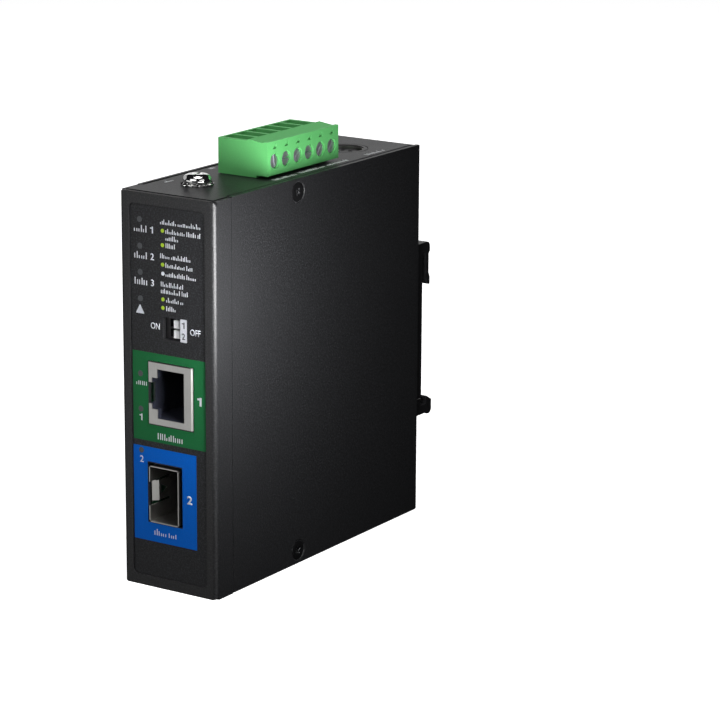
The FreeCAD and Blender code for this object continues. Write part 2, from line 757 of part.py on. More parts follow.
def dip_leads():
    """Four bent leads that carry the switch block on the board."""
    rear = dip_face + dip_depth
    thick, away, reach, stagger, tail = dip_lead
    leads = []
    for side in (-1, 1):
        x = dip_centre_x + side * away
        turn = rear + reach + stagger * (side + 1)
        for row in (-0.5, 0.5):
            z = span(dip_centre_z + row * dip_pitch, thick)
            out = block(span(x, thick), (rear, turn + thick), z)
            down = block((board_x - board_sheet - tail, x + thick / 2), (turn, turn + thick), z)
            leads.append(fuse([out, down]))
    return leads


def light_pipe(heights):
    """Clear bar behind the panel with one short pin in each lamp hole."""
    width, thick = lamp_bar
    behind = sheet + pocket_depth
    bar = block(span(lamp_x, width), (behind, behind + thick),
                (min(heights) - width / 2, max(heights) + width / 2))
    pins = [facet_rod((lamp_x, pocket_depth, z), (0, 1, 0), lamp_radius,
                      behind - pocket_depth + thick / 2) for z in heights]
    return fuse([bar] + pins)


def status_leds():
    wide, deep, high = led_size
    leds = []
    for z in power_lamps + port_lamps:
        leds.append(block((board_x - board_sheet - wide, board_x - board_sheet),
                          (board_front + led_gap, board_front + led_gap + deep), span(z, high)))
    return Part.makeCompound(leds)


def chip(y, z, size, height):
    """Flat square package on the board."""
    body = block((board_x, board_x + height), span(y, size), span(z, size))
    upper = [edge for edge in body.Edges if edge.CenterOfMass.x > board_x + height - 0.01]
    return body.makeChamfer(chip_bevel, upper)


def heatsink():
    """Comb of straight fins on a base plate, on the bridge chip."""
    y, z, _, foot = bridge_chip_at
    size, height, base, thick = heatsink_at
    foot += board_x
    parts = [block((foot, foot + base), span(y, size), span(z, size))]
    pitch = (size - thick) / (heatsink_fins - 1)
    for i in range(heatsink_fins):
        fin = y - (size - thick) / 2 + i * pitch
        parts.append(block((foot, foot + height), span(fin, thick), span(z, size)))
    return fuse(parts)


def wound_part(y, z, size, height):
    """Shielded winding: a square ferrite with rounded corners and a round core end."""
    body = block((board_x, board_x + height), span(y, size), span(z, size))
    body = bevel_edges(body, "x", winding_corner)
    outer, inner, deep = winding_groove
    scale = size / input_choke_at[2]
    groove = facet_rod((board_x + height - deep, y, z), (1, 0, 0), scale * outer, 1, can_sides)
    core = facet_rod((board_x + height - deep, y, z), (1, 0, 0), scale * inner, deep, can_sides)
    return body.cut(groove).fuse(core).removeSplitter()


def capacitor(y, z, radius, height):
    """Aluminium electrolytic can with the crimp groove near its foot."""
    can = facet_rod((board_x, y, z), (1, 0, 0), radius, height, can_sides)
    up, wide, deep = crimp
    around = facet_rod((board_x + up, y, z), (1, 0, 0), 2 * radius, wide, 4)
    return can.cut(around.cut(facet_rod((board_x, y, z), (1, 0, 0), radius - deep, height,
                                        can_sides)))


def brick(y, z, size_y, size_z, height):
    body = block((board_x, board_x + height), span(y, size_y), span(z, size_z))
    return bevel_edges(body, "x", brick_corner)


# ---------------------------------------------------------------- screw plug and its header
def header_pins():
    """Six square pins: up into the plug, and back through the board."""
    floor = top - header_depth
    pins = []
    for y in pole_y:
        upright = block(span(board_x + pin_centre, pin_side), span(y, pin_side),
                        (floor + pin_foot, top - pin_top))
        tail = block((board_x - board_sheet - pin_tail, board_x + pin_centre + pin_side / 2),
                     span(y, pin_side), (floor + pin_foot, floor + pin_foot + pin_side))
        pins.append(fuse([upright, tail]))
    return pins


def terminal_header(pins):
    """Open-topped housing on the board that the plug's tongue drops into."""
    outer_y = tongue_length + 2 * (header_gap + header_end_wall)
    floor = top - header_depth
    body = block((board_x, board_x + header_height), span(plug_centre_y, outer_y),
                 (floor, top - sheet - seam))
    cavity = block((board_x + tongue_left - header_gap,
                    board_x + tongue_left + tongue_height + header_gap),
                   span(plug_centre_y, tongue_length + 2 * header_gap),
                   (floor + header_floor, top))
    return body.cut(cavity).cut(pins)


def clamp_chamber(y):
    """Room of one pole: wire entry from above, clamp travel, screw well and contact shaft."""
    width = chamber_width
    entry = block((board_x + chamber_left, board_x + chamber_right), span(y, width),
                  (top + chamber_floor, top + 20))
    travel = block((board_x + chamber_left, board_x + screw_head_seat - well_shoulder),
                   span(y, width),
                   (top + chamber_floor, top + clamp_z + cage_block[2] / 2 + chamber_headroom))
    face = board_x + plug_left + plug_width
    seat = board_x + screw_head_seat
    neck = facet_rod((seat - well_shoulder - 1, y, top + clamp_z), (1, 0, 0),
                     clamp_thread - thread_gap + well_gap, well_shoulder + 2, hole=True)
    well = facet_rod((seat, y, top + clamp_z), (1, 0, 0), screw_head[0] + well_gap,
                     face - seat + 1, well_sides, hole=True)
    pin_left = board_x + pin_centre - pin_side / 2 - leaf_gap - leaf_sheet - contact_room
    shaft = block((pin_left, board_x + bar_near + bar_sheet + contact_room),
                  span(y, bar_width + contact_room), (top - tongue_depth - 1, top + chamber_floor + 1))
    return [entry, travel, neck, well, shaft]


def plug_notch(y):
    """Small right-angled notch above a screw well."""
    face = board_x + plug_left + plug_width
    wide, low, high, deep = plug_notch_shape
    return prism([(y - wide / 2, top + low), (y + wide / 2, top + low),
                  (y + wide / 2, top + high)], "x", face - deep, face + 1)


def plug_body():
    """Moulded plug: stepped end profile, six wire chambers, and the tongue below."""
    near = board_x + plug_left
    far = near + plug_width
    outline = [(near, top + plug_lift), (far - plug_foot_width, top + plug_lift),
               (far - plug_foot_width, top + plug_lift + plug_foot),
               (far, top + plug_lift + plug_foot),
               (far, top + plug_lip), (far - plug_lip_width, top + plug_lip),
               (far - plug_slope_end, top + plug_slope),
               (near + plug_ridge_at, top + plug_ridge),
               (near + plug_ridge_at - plug_ridge_step, top + plug_flat),
               (near, top + plug_flat)]
    body = prism(outline, "y", *span(plug_centre_y, plug_length))
    tongue = block((board_x + tongue_left, board_x + tongue_left + tongue_height),
                   span(plug_centre_y, tongue_length), (top - tongue_depth, top + plug_lift + 1))
    body = body.fuse(tongue)
    rooms = []
    for y in pole_y:
        rooms += clamp_chamber(y) + [plug_notch(y)]
    return body.cut(rooms)


def plug_contacts():
    """Contact bar in each clamp cage, with two leaves below that grip the header pin."""
    contacts = []
    pin_low = board_x + pin_centre - pin_side / 2 - leaf_gap
    pin_high = board_x + pin_centre + pin_side / 2 + leaf_gap
    bar_x = (board_x + bar_near, board_x + bar_near + bar_sheet)
    under = top - bridge_at
    for y in pole_y:
        wide = span(y, bar_width)
        pieces = [block(bar_x, wide, (under, top + bar_top)),
                  block((pin_low - leaf_sheet, bar_x[1]), wide, (under, under + bridge)),
                  block((pin_low - leaf_sheet, pin_low), wide, (top - leaf_end, under + bridge)),
                  block((pin_high, pin_high + leaf_sheet), wide, (top - leaf_end, under + bridge))]
        contacts.append(fuse(pieces))
    return Part.makeCompound(contacts)


def clamp_screw(y, slot_turn):
    """Slotted clamp screw; its tip bears on the contact bar."""
    seat = board_x + screw_head_seat
    radius, height = screw_head
    shank = facet_rod((board_x + screw_tip, y, top + clamp_z), (1, 0, 0),
                      clamp_thread - thread_gap, screw_head_seat - screw_tip)
    head = Part.makeCylinder(radius, height, Vector(seat, y, top + clamp_z), Vector(1, 0, 0))
    slot = block((seat + height - screw_slot[1], seat + height + 1), span(y, screw_slot[0]),
                 span(top + clamp_z, 4 * radius))
    slot.rotate(Vector(seat, y, top + clamp_z), Vector(1, 0, 0), slot_turn)
    return fuse([shank, head]).cut(slot)


def clamp_cage(y):
    """Rectangular clamp cage, threaded in its far wall, open along the wire."""
    along, wide, high = cage_block
    foot, side, wall = clamp_wall
    near = board_x + cage_block_left
    body = block((near, near + along), span(y, wide), span(top + clamp_z, high))
    body = bevel_edges(body, "z", cage_corner)
    body = body.cut(block((near + foot, near + along - wall), span(y, wide - 2 * side),
                          span(top + clamp_z, 2 * high)))
    return body.cut(facet_rod((near + along - wall - 1, y, top + clamp_z), (1, 0, 0),
                              clamp_thread, wall + 2, hole=True))


# ---------------------------------------------------------------- round power socket
def power_body_shape():
    """Square moulding on the board with a round collar in the top plate's hole."""
    x = board_x + power_centre
    body = block((board_x, board_x + power_body), span(power_centre_y, power_body),
                 (top - power_depth, top - sheet - seam))
    body = bevel_edges(body, "z", power_corner, lambda c: c.x > board_x + 1)
    collar = facet_rod((x, power_centre_y, top - sheet - 1), (0, 0, 1), power_radius, sheet + 1,
                       socket_sides)
    well = facet_rod((x, power_centre_y, top - power_well), (0, 0, 1), power_ring[0],
                     power_well + 1, socket_sides)
    core = facet_rod((x, power_centre_y, top - power_depth + power_floor), (0, 0, 1), power_core,
                     power_depth - power_floor - power_core_drop, socket_sides)
    whole = body.fuse(collar).cut(well).fuse(core).removeSplitter()
    away, radius = power_pin
    for turn in (45, 135, 225, 315):
        spot = (x + away * math.cos(math.radians(turn)),
                power_centre_y + away * math.sin(math.radians(turn)),
                top - power_well)
        whole = whole.cut(facet_rod(spot, (0, 0, 1), radius, power_well + 1))
    return whole


def power_ring_shape():
    """Metal ring that lines the socket."""
    outer, wall = power_ring
    x = board_x + power_centre
    height = power_well - power_ring_drop
    ring = facet_rod((x, power_centre_y, top - power_well), (0, 0, 1), outer, height,
                     socket_sides)
    return ring.cut(facet_rod((x, power_centre_y, top - power_well - 1), (0, 0, 1), outer - wall,
                              height + 2, socket_sides))


def power_contacts():
    """Four contact sleeves at the bottom of the pin holes."""
    x = board_x + power_centre
    away, radius = power_pin
    sleeves = []
    for turn in (45, 135, 225, 315):
        spot = (x + away * math.cos(math.radians(turn)),
                power_centre_y + away * math.sin(math.radians(turn)),
                top - power_well)
        height = power_well - power_core_drop - power_sleeve[0]
        sleeve = facet_rod(spot, (0, 0, 1), radius, height)
        sleeves.append(sleeve.cut(facet_rod(spot, (0, 0, 1), radius - power_sleeve[1],
                                            2 * height)))
    return Part.makeCompound(sleeves)


# ---------------------------------------------------------------- rail clip
def din_clip():
    """Clip body: fixed upper hook, screw holes and the channel that guides the latch."""
    hook_rear = clip_rear + clip_slot + clip_lip
    slot_rear, bead_rear = clip_rear + clip_slot, hook_rear + clip_bead
    foot, bead = clip_bead_z
    outline = [(back, clip_bottom), (clip_rear, clip_bottom), (clip_rear, clip_slot_top),
               (slot_rear, clip_slot_top), (slot_rear, clip_lip_bottom + clip_lip_slope),
               (hook_rear, clip_lip_bottom), (bead_rear, clip_lip_bottom), (bead_rear, foot),
               (hook_rear, foot + 2 * clip_bead), (hook_rear, bead - clip_bead), (bead_rear, bead),
               (bead_rear, clip_top), (back, clip_top)]
    body = prism(outline, "x", -clip_width / 2, clip_width / 2)
    body = round_edges(body, "x", clip_corner, lambda c: c.z > clip_top - 0.01 and c.y > back + 1)
    body = round_edges(body, "x", clip_slot_round, lambda c: abs(c.z - clip_slot_top) < 0.01)
    channel = block((-channel_width / 2, channel_width / 2), (back - 1, back + channel_depth),
                    (clip_bottom - 1, channel_top))
    body = body.cut(channel)
    stop = block(span(0, stop_block[0]), (back + latch_slide_gap, back + channel_depth + 1),
                 (stop_bottom, stop_bottom + stop_block[1]))
    body = body.fuse(stop).removeSplitter()
    head, shank, _ = clip_screw
    for x, z in clip_screw_spots:
        body = body.cut(facet_rod((x, back - 1, z), (0, 1, 0), shank + screw_hole_gap,
                                  clip_base + 2, hole=True))
        body = body.cut(facet_cone((x, clip_rear - clip_sink[0], z), (0, 1, 0),
                                   shank + screw_hole_gap, head + screw_hole_gap, clip_sink[0],
                                   screw_sides, hole=True))
    return body


def din_latch():
    """Sliding latch: plate in the channel, full-width hook below, window for the spring."""
    gap = latch_slide_gap
    plate = block((-channel_width / 2 + gap, channel_width / 2 - gap),
                  (back + gap, back + channel_depth - gap), (hook_bottom, latch_top))
    rear = back + hook_reach
    front = back + hook_gap
    heel = hook_bottom - hook_heel_drop
    slope, blunt = hook_nose
    outline = [(front, clip_bottom - hook_gap), (front, hook_bottom + hook_toe[1]),
               (front + hook_toe[0], hook_bottom), (rear - hook_lip, hook_bottom),
               (rear - hook_lip + hook_heel, heel), (rear - hook_heel, heel),
               (rear, heel + hook_heel), (rear, hook_tip - slope),
               (rear - hook_lip + blunt, hook_tip), (rear - hook_lip, hook_tip - blunt),
               (rear - hook_lip, hook_shelf),
               (clip_rear - hook_gap, hook_shelf), (clip_rear - hook_gap, clip_bottom - hook_gap)]
    hook = prism(outline, "x", -clip_width / 2, clip_width / 2)
    body = plate.fuse(hook)
    width, low, high = latch_window
    body = body.cut(block(span(0, width), (back - 1, back + channel_depth), (low, high)))
    pull = block(span(0, pull_slot[0]), (back + pull_slot[1], back + pull_slot[2]),
                 (hook_bottom - 1, hook_bottom + pull_slot[3]))
    return body.cut(pull).removeSplitter()


def latch_spring():
    """Coil spring between the stop in the channel and the top of the latch window."""
    low = stop_bottom + stop_block[1] + spring_wire
    high = latch_window[2] - spring_wire
    middle_y = back + channel_depth / 2
    count = spring_turns * spring_sides
    points = []
    for i in range(count + 1):
        turn = 2 * math.pi * i / spring_sides
        points.append(Vector(spring_radius * math.cos(turn), middle_y + spring_radius * math.sin(turn),
                             low + (high - low) * i / count))
    half = spring_wire * 0.85
    section = Part.makePolygon([points[0] + Vector(a, 0, b) for a, b in
                                ((-half, -half), (half, -half), (half, half), (-half, half),
                                 (-half, -half))])
    sweep = Part.BRepOffsetAPI.MakePipeShell(Part.makePolygon(points))
    sweep.add(section)
    sweep.setTransitionMode(1)
    sweep.build()
    sweep.makeSolid()
    return sweep.shape()


def clip_screws():
    head, shank, length = clip_screw
    sink, drop = clip_sink
    flush = shank + (head - shank) * (1 - drop / sink)
    screws = []
    for x, z in clip_screw_spots:
        cap = facet_cone((x, clip_rear - sink, z), (0, 1, 0), shank, flush, sink - drop,
                         screw_sides)
        stem = facet_rod((x, clip_rear - length, z), (0, 1, 0), shank, length - sink)
        screws.append(fuse([cap, stem]))
    return Part.makeCompound(screws)


# ---------------------------------------------------------------- the whole object
def build():
    pins = header_pins()
    leads = dip_leads()
    cover = right_cover()
    parts = {
        "main_chassis": main_chassis(),
        "front_panel": front_panel(),
        "front_label": front_label(),
        "right_cover": cover,
        "left_cover": cover.mirror(Vector(0, 0, 0), Vector(1, 0, 0)),
        "cover_screws": cover_screws(),
        "ground_screw": ground_screw(),
        "ground_washer": ground_washer(),
        "main_board": main_board(pins + leads),
        "board_standoffs": standoffs(),
        "board_screws": board_screws(),
        "network_socket_shell": jack_case(),
        "network_socket_insert": jack_insert(),
        "network_socket_contacts": jack_contacts(),
        "transceiver_cage": transceiver_cage(),
        "transceiver_connector": transceiver_connector(),
        "dip_switch_body": dip_body(),
        "dip_switch_leads": Part.makeCompound(leads),
        "dip_slider_1": dip_slider(0),
        "dip_slider_2": dip_slider(1),
        "power_light_pipe": light_pipe(power_lamps),
        "port_light_pipe": light_pipe(port_lamps),
        "status_leds": status_leds(),
        "terminal_header": terminal_header(pins),
        "header_pins": Part.makeCompound(pins),
        "plug_body": plug_body(),
        "plug_contacts": plug_contacts(),
        "power_socket_body": power_body_shape(),
        "power_socket_ring": power_ring_shape(),
        "power_socket_contacts": power_contacts(),
        "network_transformer": brick(transformer_at[0], jack_centre_z, *transformer_at[1:]),
        "interface_chip": chip(interface_chip_at[0], jack_centre_z, *interface_chip_at[1:]),
        "bridge_chip": chip(*bridge_chip_at),
        "bridge_chip_heatsink": heatsink(),
        "power_chip": chip(*power_chip_at),
        "power_transformer": wound_part(*power_transformer_at),
        "input_choke": wound_part(*input_choke_at),
        "output_choke": wound_part(*output_choke_at),
        "input_capacitor": capacitor(*input_capacitor_at),
        "output_capacitor": capacitor(*output_capacitor_at),
        "alarm_relay": brick(*alarm_relay_at),
        "din_clip": din_clip(),
        "din_latch": din_latch(),
        "din_latch_spring": latch_spring(),
        "din_clip_screws": clip_screws(),
    }
    slot_turns = (12, 95, 135, 90, -35, -35)
    for number, (y, turn) in enumerate(zip(pole_y, slot_turns), start=1):
        parts["clamp_screw_%d" % number] = clamp_screw(y, turn)
        parts["clamp_cage_%d" % number] = clamp_cage(y)
    return parts


os.makedirs("parts", exist_ok=True)
for name, shape in build().items():
    shape.translate(Vector(0, -overall_depth / 2, 0))
    shape.exportStep("parts/%s.step" % name)
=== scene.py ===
"""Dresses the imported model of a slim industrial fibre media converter.

The folded-sheet case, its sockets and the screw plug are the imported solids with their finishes.
Printing, lamp windows, screws and the studio are made here, each by its own operator.
Lengths are in metres; places and edges written in the tables of the printing are in mm.
"""
import json
import math
import random

import bmesh
import bpy
from mathutils import Matrix, Quaternion, Vector


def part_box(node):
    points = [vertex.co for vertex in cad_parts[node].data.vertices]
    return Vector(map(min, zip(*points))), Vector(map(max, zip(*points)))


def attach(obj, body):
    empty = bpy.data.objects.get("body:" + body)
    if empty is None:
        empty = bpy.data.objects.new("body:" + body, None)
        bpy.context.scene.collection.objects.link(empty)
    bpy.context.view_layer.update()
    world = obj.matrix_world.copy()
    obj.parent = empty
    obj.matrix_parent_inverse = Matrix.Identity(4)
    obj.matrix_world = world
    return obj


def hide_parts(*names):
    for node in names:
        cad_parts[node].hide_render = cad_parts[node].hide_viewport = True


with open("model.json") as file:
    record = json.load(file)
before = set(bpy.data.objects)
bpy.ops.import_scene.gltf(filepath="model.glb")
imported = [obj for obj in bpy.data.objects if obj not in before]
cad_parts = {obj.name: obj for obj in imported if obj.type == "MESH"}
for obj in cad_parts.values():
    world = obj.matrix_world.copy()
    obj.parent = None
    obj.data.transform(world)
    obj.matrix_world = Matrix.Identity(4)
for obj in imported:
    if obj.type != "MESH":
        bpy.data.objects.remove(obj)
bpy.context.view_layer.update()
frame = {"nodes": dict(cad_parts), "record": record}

bl_info = {
    "name": "Fibre media converter",
    "version": (1, 0, 0),
    "blender": (4, 5, 0),
    "location": "3D View > Sidebar > Converter",
    "description": "Finishes, printing, screws and studio for a rail-mounted media converter",
    "category": "Object",
}

MM = 0.001
CASE_LEFT, CASE_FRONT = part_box("front_panel")[0].xy
TOP_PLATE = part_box("main_chassis")[1].z
LABEL_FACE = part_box("front_label")[0].y

MERGE = 1e-6                         # points of a piece closer than this become one
SHARP_ANGLE = math.radians(35)       # edges sharper than this are bevelled and stay crisp
TURNED_SIDES = 40                    # sides of a small turned piece

# Printed marks: shares of their height
PEN_SHARE = 0.17                     # width of a stroke
MARK_SHARE = 0.62                    # width of a pair of ticks
MARK_GAP_SHARE = 0.2                 # gap between two pairs
TICK_SHARES = (0.45, 0.7, 1.0)       # heights that a tick may have
GROUP_SIZE = (3, 7)                  # fewest and most pairs in a group of ticks
FONT_SWELL = 0.012                   # how far the font's outline is thickened


def distance(name, description, default):
    """A length a user may change: its default is given in mm and kept in metres."""
    return bpy.props.FloatProperty(name=name, description=description, default=default * MM,
                                   min=0.0, precision=5, subtype="DISTANCE", unit="LENGTH")


def colour(name, description, default):
    """A colour a user may change."""
    return bpy.props.FloatVectorProperty(name=name, description=description, default=default,
                                         size=3, min=0.0, max=1.0, subtype="COLOR")


class ConverterSizes(bpy.types.PropertyGroup):
    """Sizes of the printing, the lamp windows and the screws."""
    ink: distance("Ink thickness", "How far the printing stands on its surface", 0.03)
    capital: distance("Switch lettering", "Height of ON and OFF", 1.62)
    port_number: distance("Port number", "Height of the large port numbers", 2.2)
    lamp_number: distance("Lamp number", "Height of the numbers below the lamps", 1.7)
    legend: distance("Legend line", "Height of a line of the legend", 1.35)
    lamp: distance("Lamp window", "Diameter of a lamp window on the label", 1.5)
    legend_dot: distance("Legend dot", "Diameter of a dot in the legend", 1.0)
    ground_head: distance("Earth screw head", "Diameter of the earth screw's head", 7.1)
    ground_recess: distance("Earth screw recess", "Length of the recess's arms", 4.4)
    cover_head: distance("Cover screw head", "Diameter of a cover screw's head", 5.3)
    clamp_head: distance("Clamp screw head", "Diameter of a clamp screw's head", 3.64)
    clamp_slot: distance("Clamp screw slot", "Width of a clamp screw's slot", 0.55)
    clip_head: distance("Clip screw head", "Diameter of a clip screw's head", 4.7)


class ConverterColours(bpy.types.PropertyGroup):
    """Colours of the case, the printing and the plug."""
    case: colour("Case", "Powder coat of the case", (0.0100, 0.0102, 0.0110))
    label: colour("Label", "Front overlay", (0.0080, 0.0083, 0.0095))
    green_field: colour("Network field", "Field round the network socket", (0.012, 0.132, 0.041))
    blue_field: colour("Transceiver field", "Field round the cage", (0.0005, 0.120, 0.58))
    print_white: colour("Printing", "Printed lines and numbers", (0.64, 0.665, 0.72))
    lamp: colour("Lamp window", "Unlit lamp window", (0.045, 0.050, 0.055))
    dot: colour("Legend dot", "Yellow-green dots of the legend", (0.36, 0.52, 0.035))
    plug: colour("Plug", "Moulded screw plug", (0.135, 0.53, 0.165))


# ---------------------------------------------------------------- working by hand, in code
def clear_selection():
    """Leave edit mode and deselect everything."""
    if bpy.context.object and bpy.context.object.mode != "OBJECT":
        bpy.ops.object.mode_set(mode="OBJECT")
    bpy.ops.object.select_all(action="DESELECT")


def begin(name, add, **values):
    """Add a primitive with nothing else selected, and open it in edit mode, all selected."""
    clear_selection()
    add(**values)
    piece = bpy.context.object
    piece.name = name
    piece.data.name = name
    bpy.ops.object.mode_set(mode="EDIT")
    bpy.ops.mesh.select_all(action="SELECT")
    return piece


def choose(piece, kind, test):
    """In edit mode, select only the faces, edges or vertices that pass the test."""
    bpy.ops.mesh.select_mode(type=kind)
    bpy.ops.mesh.select_all(action="DESELECT")
    mesh = bmesh.from_edit_mesh(piece.data)
    for item in {"FACE": mesh.faces, "EDGE": mesh.edges, "VERT": mesh.verts}[kind]:
        if test(item):
            item.select_set(True)
    mesh.select_flush_mode()
    bmesh.update_edit_mesh(piece.data)


def close(piece):
    """Merge doubles, turn the faces outwards and leave edit mode."""
    bpy.ops.mesh.select_all(action="SELECT")
    bpy.ops.mesh.remove_doubles(threshold=MERGE)
    bpy.ops.mesh.normals_make_consistent(inside=False)
    bpy.ops.object.mode_set(mode="OBJECT")
    return piece


def raise_up(height):
    """Extrude what is selected along +Z."""
    bpy.ops.mesh.extrude_region_move(TRANSFORM_OT_translate={"value": (0, 0, height)})


def stretch(along_x, along_y, along_z, about=(0, 0, 0)):
    """Scale what is selected about a point."""
    bpy.ops.transform.resize(value=(along_x, along_y, along_z), center_override=about)


def only(piece):
    """Make one piece the only selected one, and active."""
    clear_selection()
    piece.select_set(True)
    bpy.context.view_layer.objects.active = piece


def drop(piece):
    """Delete a pattern or cutter that has done its work."""
    only(piece)
    bpy.ops.object.delete()


def apply_modifier(piece, kind, **settings):
    """Add a modifier with its settings and apply it."""
    only(piece)
    modifier = piece.modifiers.new(kind.title(), kind)
    for key, value in settings.items():
        setattr(modifier, key, value)
    bpy.ops.object.modifier_apply(modifier=modifier.name)


def carve(piece, cutter):
    """Cut one closed piece out of another, and delete the cutter."""
    apply_modifier(piece, "BOOLEAN", object=cutter, operation="DIFFERENCE", solver="EXACT")
    drop(cutter)


def soften(piece, width):
    """Small bevel on the sharp edges, then smooth shading up to the same angle."""
    apply_modifier(piece, "BEVEL", width=width, segments=2, limit_method="ANGLE",
                   angle_limit=SHARP_ANGLE)
    only(piece)
    bpy.ops.object.shade_smooth_by_angle(angle=SHARP_ANGLE)


def turned(degrees, axis="Z"):
    """Matrix of a turn about an axis through the origin."""
    return Matrix.Rotation(math.radians(degrees), 4, axis)


def place(piece, matrix):
    """Put a finished mesh at its place, leaving its object at the origin."""
    only(piece)
    piece.matrix_world = matrix
    bpy.ops.object.transform_apply(location=True, rotation=True, scale=True)
    return piece


def lathe(name, outline, sides=48):
    """Turned piece: a filled circle extruded ring by ring up its outline of (radius, height)."""
    radius, height = outline[0]
    piece = begin(name, bpy.ops.mesh.primitive_circle_add, vertices=sides, radius=radius,
                  fill_type="NGON", location=(0, 0, height))
    bpy.ops.object.mode_set(mode="OBJECT")
    bpy.ops.object.transform_apply(location=True, rotation=True, scale=True)
    bpy.ops.object.mode_set(mode="EDIT")
    bpy.ops.mesh.select_mode(type="FACE")
    bpy.ops.mesh.select_all(action="SELECT")
    for next_radius, next_height in outline[1:]:
        raise_up(next_height - height)
        ratio = next_radius / radius
        stretch(ratio, ratio, 1, (0, 0, next_height))
        radius, height = next_radius, next_height
    return close(piece)


def cross_cutter(width, length, depth, height):
    """Plus-shaped cutter, narrowing downwards to half, that cuts to depth below a height."""
    piece = begin("cross_cutter", bpy.ops.mesh.primitive_grid_add, x_subdivisions=3,
                  y_subdivisions=3, size=length)
    inner_line = length / 6              # from the grid's middle to its inner lines
    squeeze = width / 2 / inner_line
    choose(piece, "VERT", lambda v: abs(v.co.x) < 2 * inner_line)
    stretch(squeeze, 1, 1)
    choose(piece, "VERT", lambda v: abs(v.co.y) < 2 * inner_line)
    stretch(1, squeeze, 1)
    corner = width * 0.6
    choose(piece, "FACE", lambda f: abs(f.calc_center_median().x) > corner
           and abs(f.calc_center_median().y) > corner)
    bpy.ops.mesh.delete(type="FACE")
    bpy.ops.mesh.select_all(action="SELECT")
    raise_up(-2 * depth)
    stretch(0.5, 0.5, 1)
    close(piece)
    return place(piece, Matrix.Translation((0, 0, height + depth)))


def countersunk_screw(name, head, shank, length, cone, edge, recess):
    """Countersunk screw, its flat top at height 0, with a cross recess of (width, length).

    head and shank are radii. The cone runs from cone below the top to edge below it.
    """
    point, taper = 1.2 * MM, 0.2 * MM
    rim = head - 0.1 * MM
    screw = lathe(name, [(point, -length), (shank, -length + taper), (shank, -cone),
                         (rim, -edge), (head, -0.06 * MM), (rim, 0), (head * 0.6, 0)],
                  TURNED_SIDES)
    width, reach = recess
    carve(screw, cross_cutter(width, reach, width, 0))
    soften(screw, 0.05 * MM)
    return screw


def copy_of(piece, name):
    """Copy of a modelled piece, with its own mesh."""
    only(piece)
    bpy.ops.object.duplicate(linked=False)
    twin = bpy.context.object
    twin.name = name
    twin.data.name = name
    return twin


def join(name, parts):
    """Join finished pieces into one of the given name."""
    clear_selection()
    for part in parts:
        part.select_set(True)
    bpy.context.view_layer.objects.active = parts[0]
    bpy.ops.object.join()
    whole = bpy.context.object
    whole.name = name
    whole.data.name = name
    return whole


def dress(piece, body, material, slot, *nodes):
    """Give a finished piece its material and body, and hide the imported solids it stands for;
    slot is not used.
    """
    piece.data.materials.clear()
    piece.data.materials.append(material)
    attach(piece, body)
    if nodes:
        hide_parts(*nodes)


# ---------------------------------------------------------------- shader node groups
def node(tree, kind, **settings):
    """New node with its settings."""
    made = tree.nodes.new(kind)
    for key, value in settings.items():
        setattr(made, key, value)
    return made


def start_group(name, inputs, outputs):
    """New shader group with its inputs and their defaults, and float outputs, and its two ends."""
    group = bpy.data.node_groups.new(name, "ShaderNodeTree")
    for label, default in inputs.items():
        kind = "NodeSocketVector" if isinstance(default, tuple) else "NodeSocketFloat"
        made = group.interface.new_socket(name=label, in_out="INPUT", socket_type=kind)
        made.default_value = default
    for label in outputs:
        group.interface.new_socket(name=label, in_out="OUTPUT", socket_type="NodeSocketFloat")
    return group, node(group, "NodeGroupInput"), node(group, "NodeGroupOutput")


def remap(tree, source, start=(0.0, 1.0), end=(0.0, 1.0)):
    """Map a value from one range to another."""
    ranged = node(tree, "ShaderNodeMapRange")
    for name, value in zip(("From Min", "From Max", "To Min", "To Max"), (*start, *end)):
        ranged.inputs[name].default_value = value
    tree.links.new(source, ranged.inputs["Value"])
    return ranged.outputs["Result"]


def noise_of_size(group, where, size, detail, rough=0.5):
    """Noise from 0 to 1, with features as large as the given socket says."""
    scale = node(group, "ShaderNodeMath", operation="DIVIDE")
    scale.inputs[0].default_value = 1.0
    noise = node(group, "ShaderNodeTexNoise")
    noise.inputs["Detail"].default_value = detail
    noise.inputs["Roughness"].default_value = rough
    group.links.new(size, scale.inputs[1])
    group.links.new(where, noise.inputs["Vector"])
    group.links.new(scale.outputs[0], noise.inputs["Scale"])
    return noise.outputs["Fac"]


def grain_group():
    """Coating grain: a fine height, a fine tone and slow patches, each from 0 to 1."""
    group = bpy.data.node_groups.get("coating_grain")
    if group:
        return group
    group, inside, outside = start_group("coating_grain",
                                         {"Grain size": 0.0004, "Patch size": 0.02},
                                         ("Height", "Tone", "Patches"))
    where = node(group, "ShaderNodeTexCoord").outputs["Object"]
    fine = noise_of_size(group, where, inside.outputs["Grain size"], 2.0, 0.6)
    slow = noise_of_size(group, where, inside.outputs["Patch size"], 3.0, 0.6)
    group.links.new(fine, outside.inputs["Height"])
    group.links.new(remap(group, fine, start=(0.45, 0.72)), outside.inputs["Tone"])
    group.links.new(slow, outside.inputs["Patches"])
    return group


def drawn_marks_group():
    """Fine straight marks along one axis: a height and a tone from 0 to 1."""
    group = bpy.data.node_groups.get("drawn_marks")
    if group:
        return group
    group, inside, outside = start_group("drawn_marks",
                                         {"Spacing": 0.0002, "Stretch": (1.0, 1.0, 0.04)},
                                         ("Height", "Tone"))
    stretched = node(group, "ShaderNodeVectorMath", operation="MULTIPLY")
    group.links.new(node(group, "ShaderNodeTexCoord").outputs["Object"], stretched.inputs[0])
    group.links.new(inside.outputs["Stretch"], stretched.inputs[1])
    marks = noise_of_size(group, stretched.outputs[0], inside.outputs["Spacing"], 3.0)
    group.links.new(marks, outside.inputs["Height"])
    group.links.new(marks, outside.inputs["Tone"])
    return group


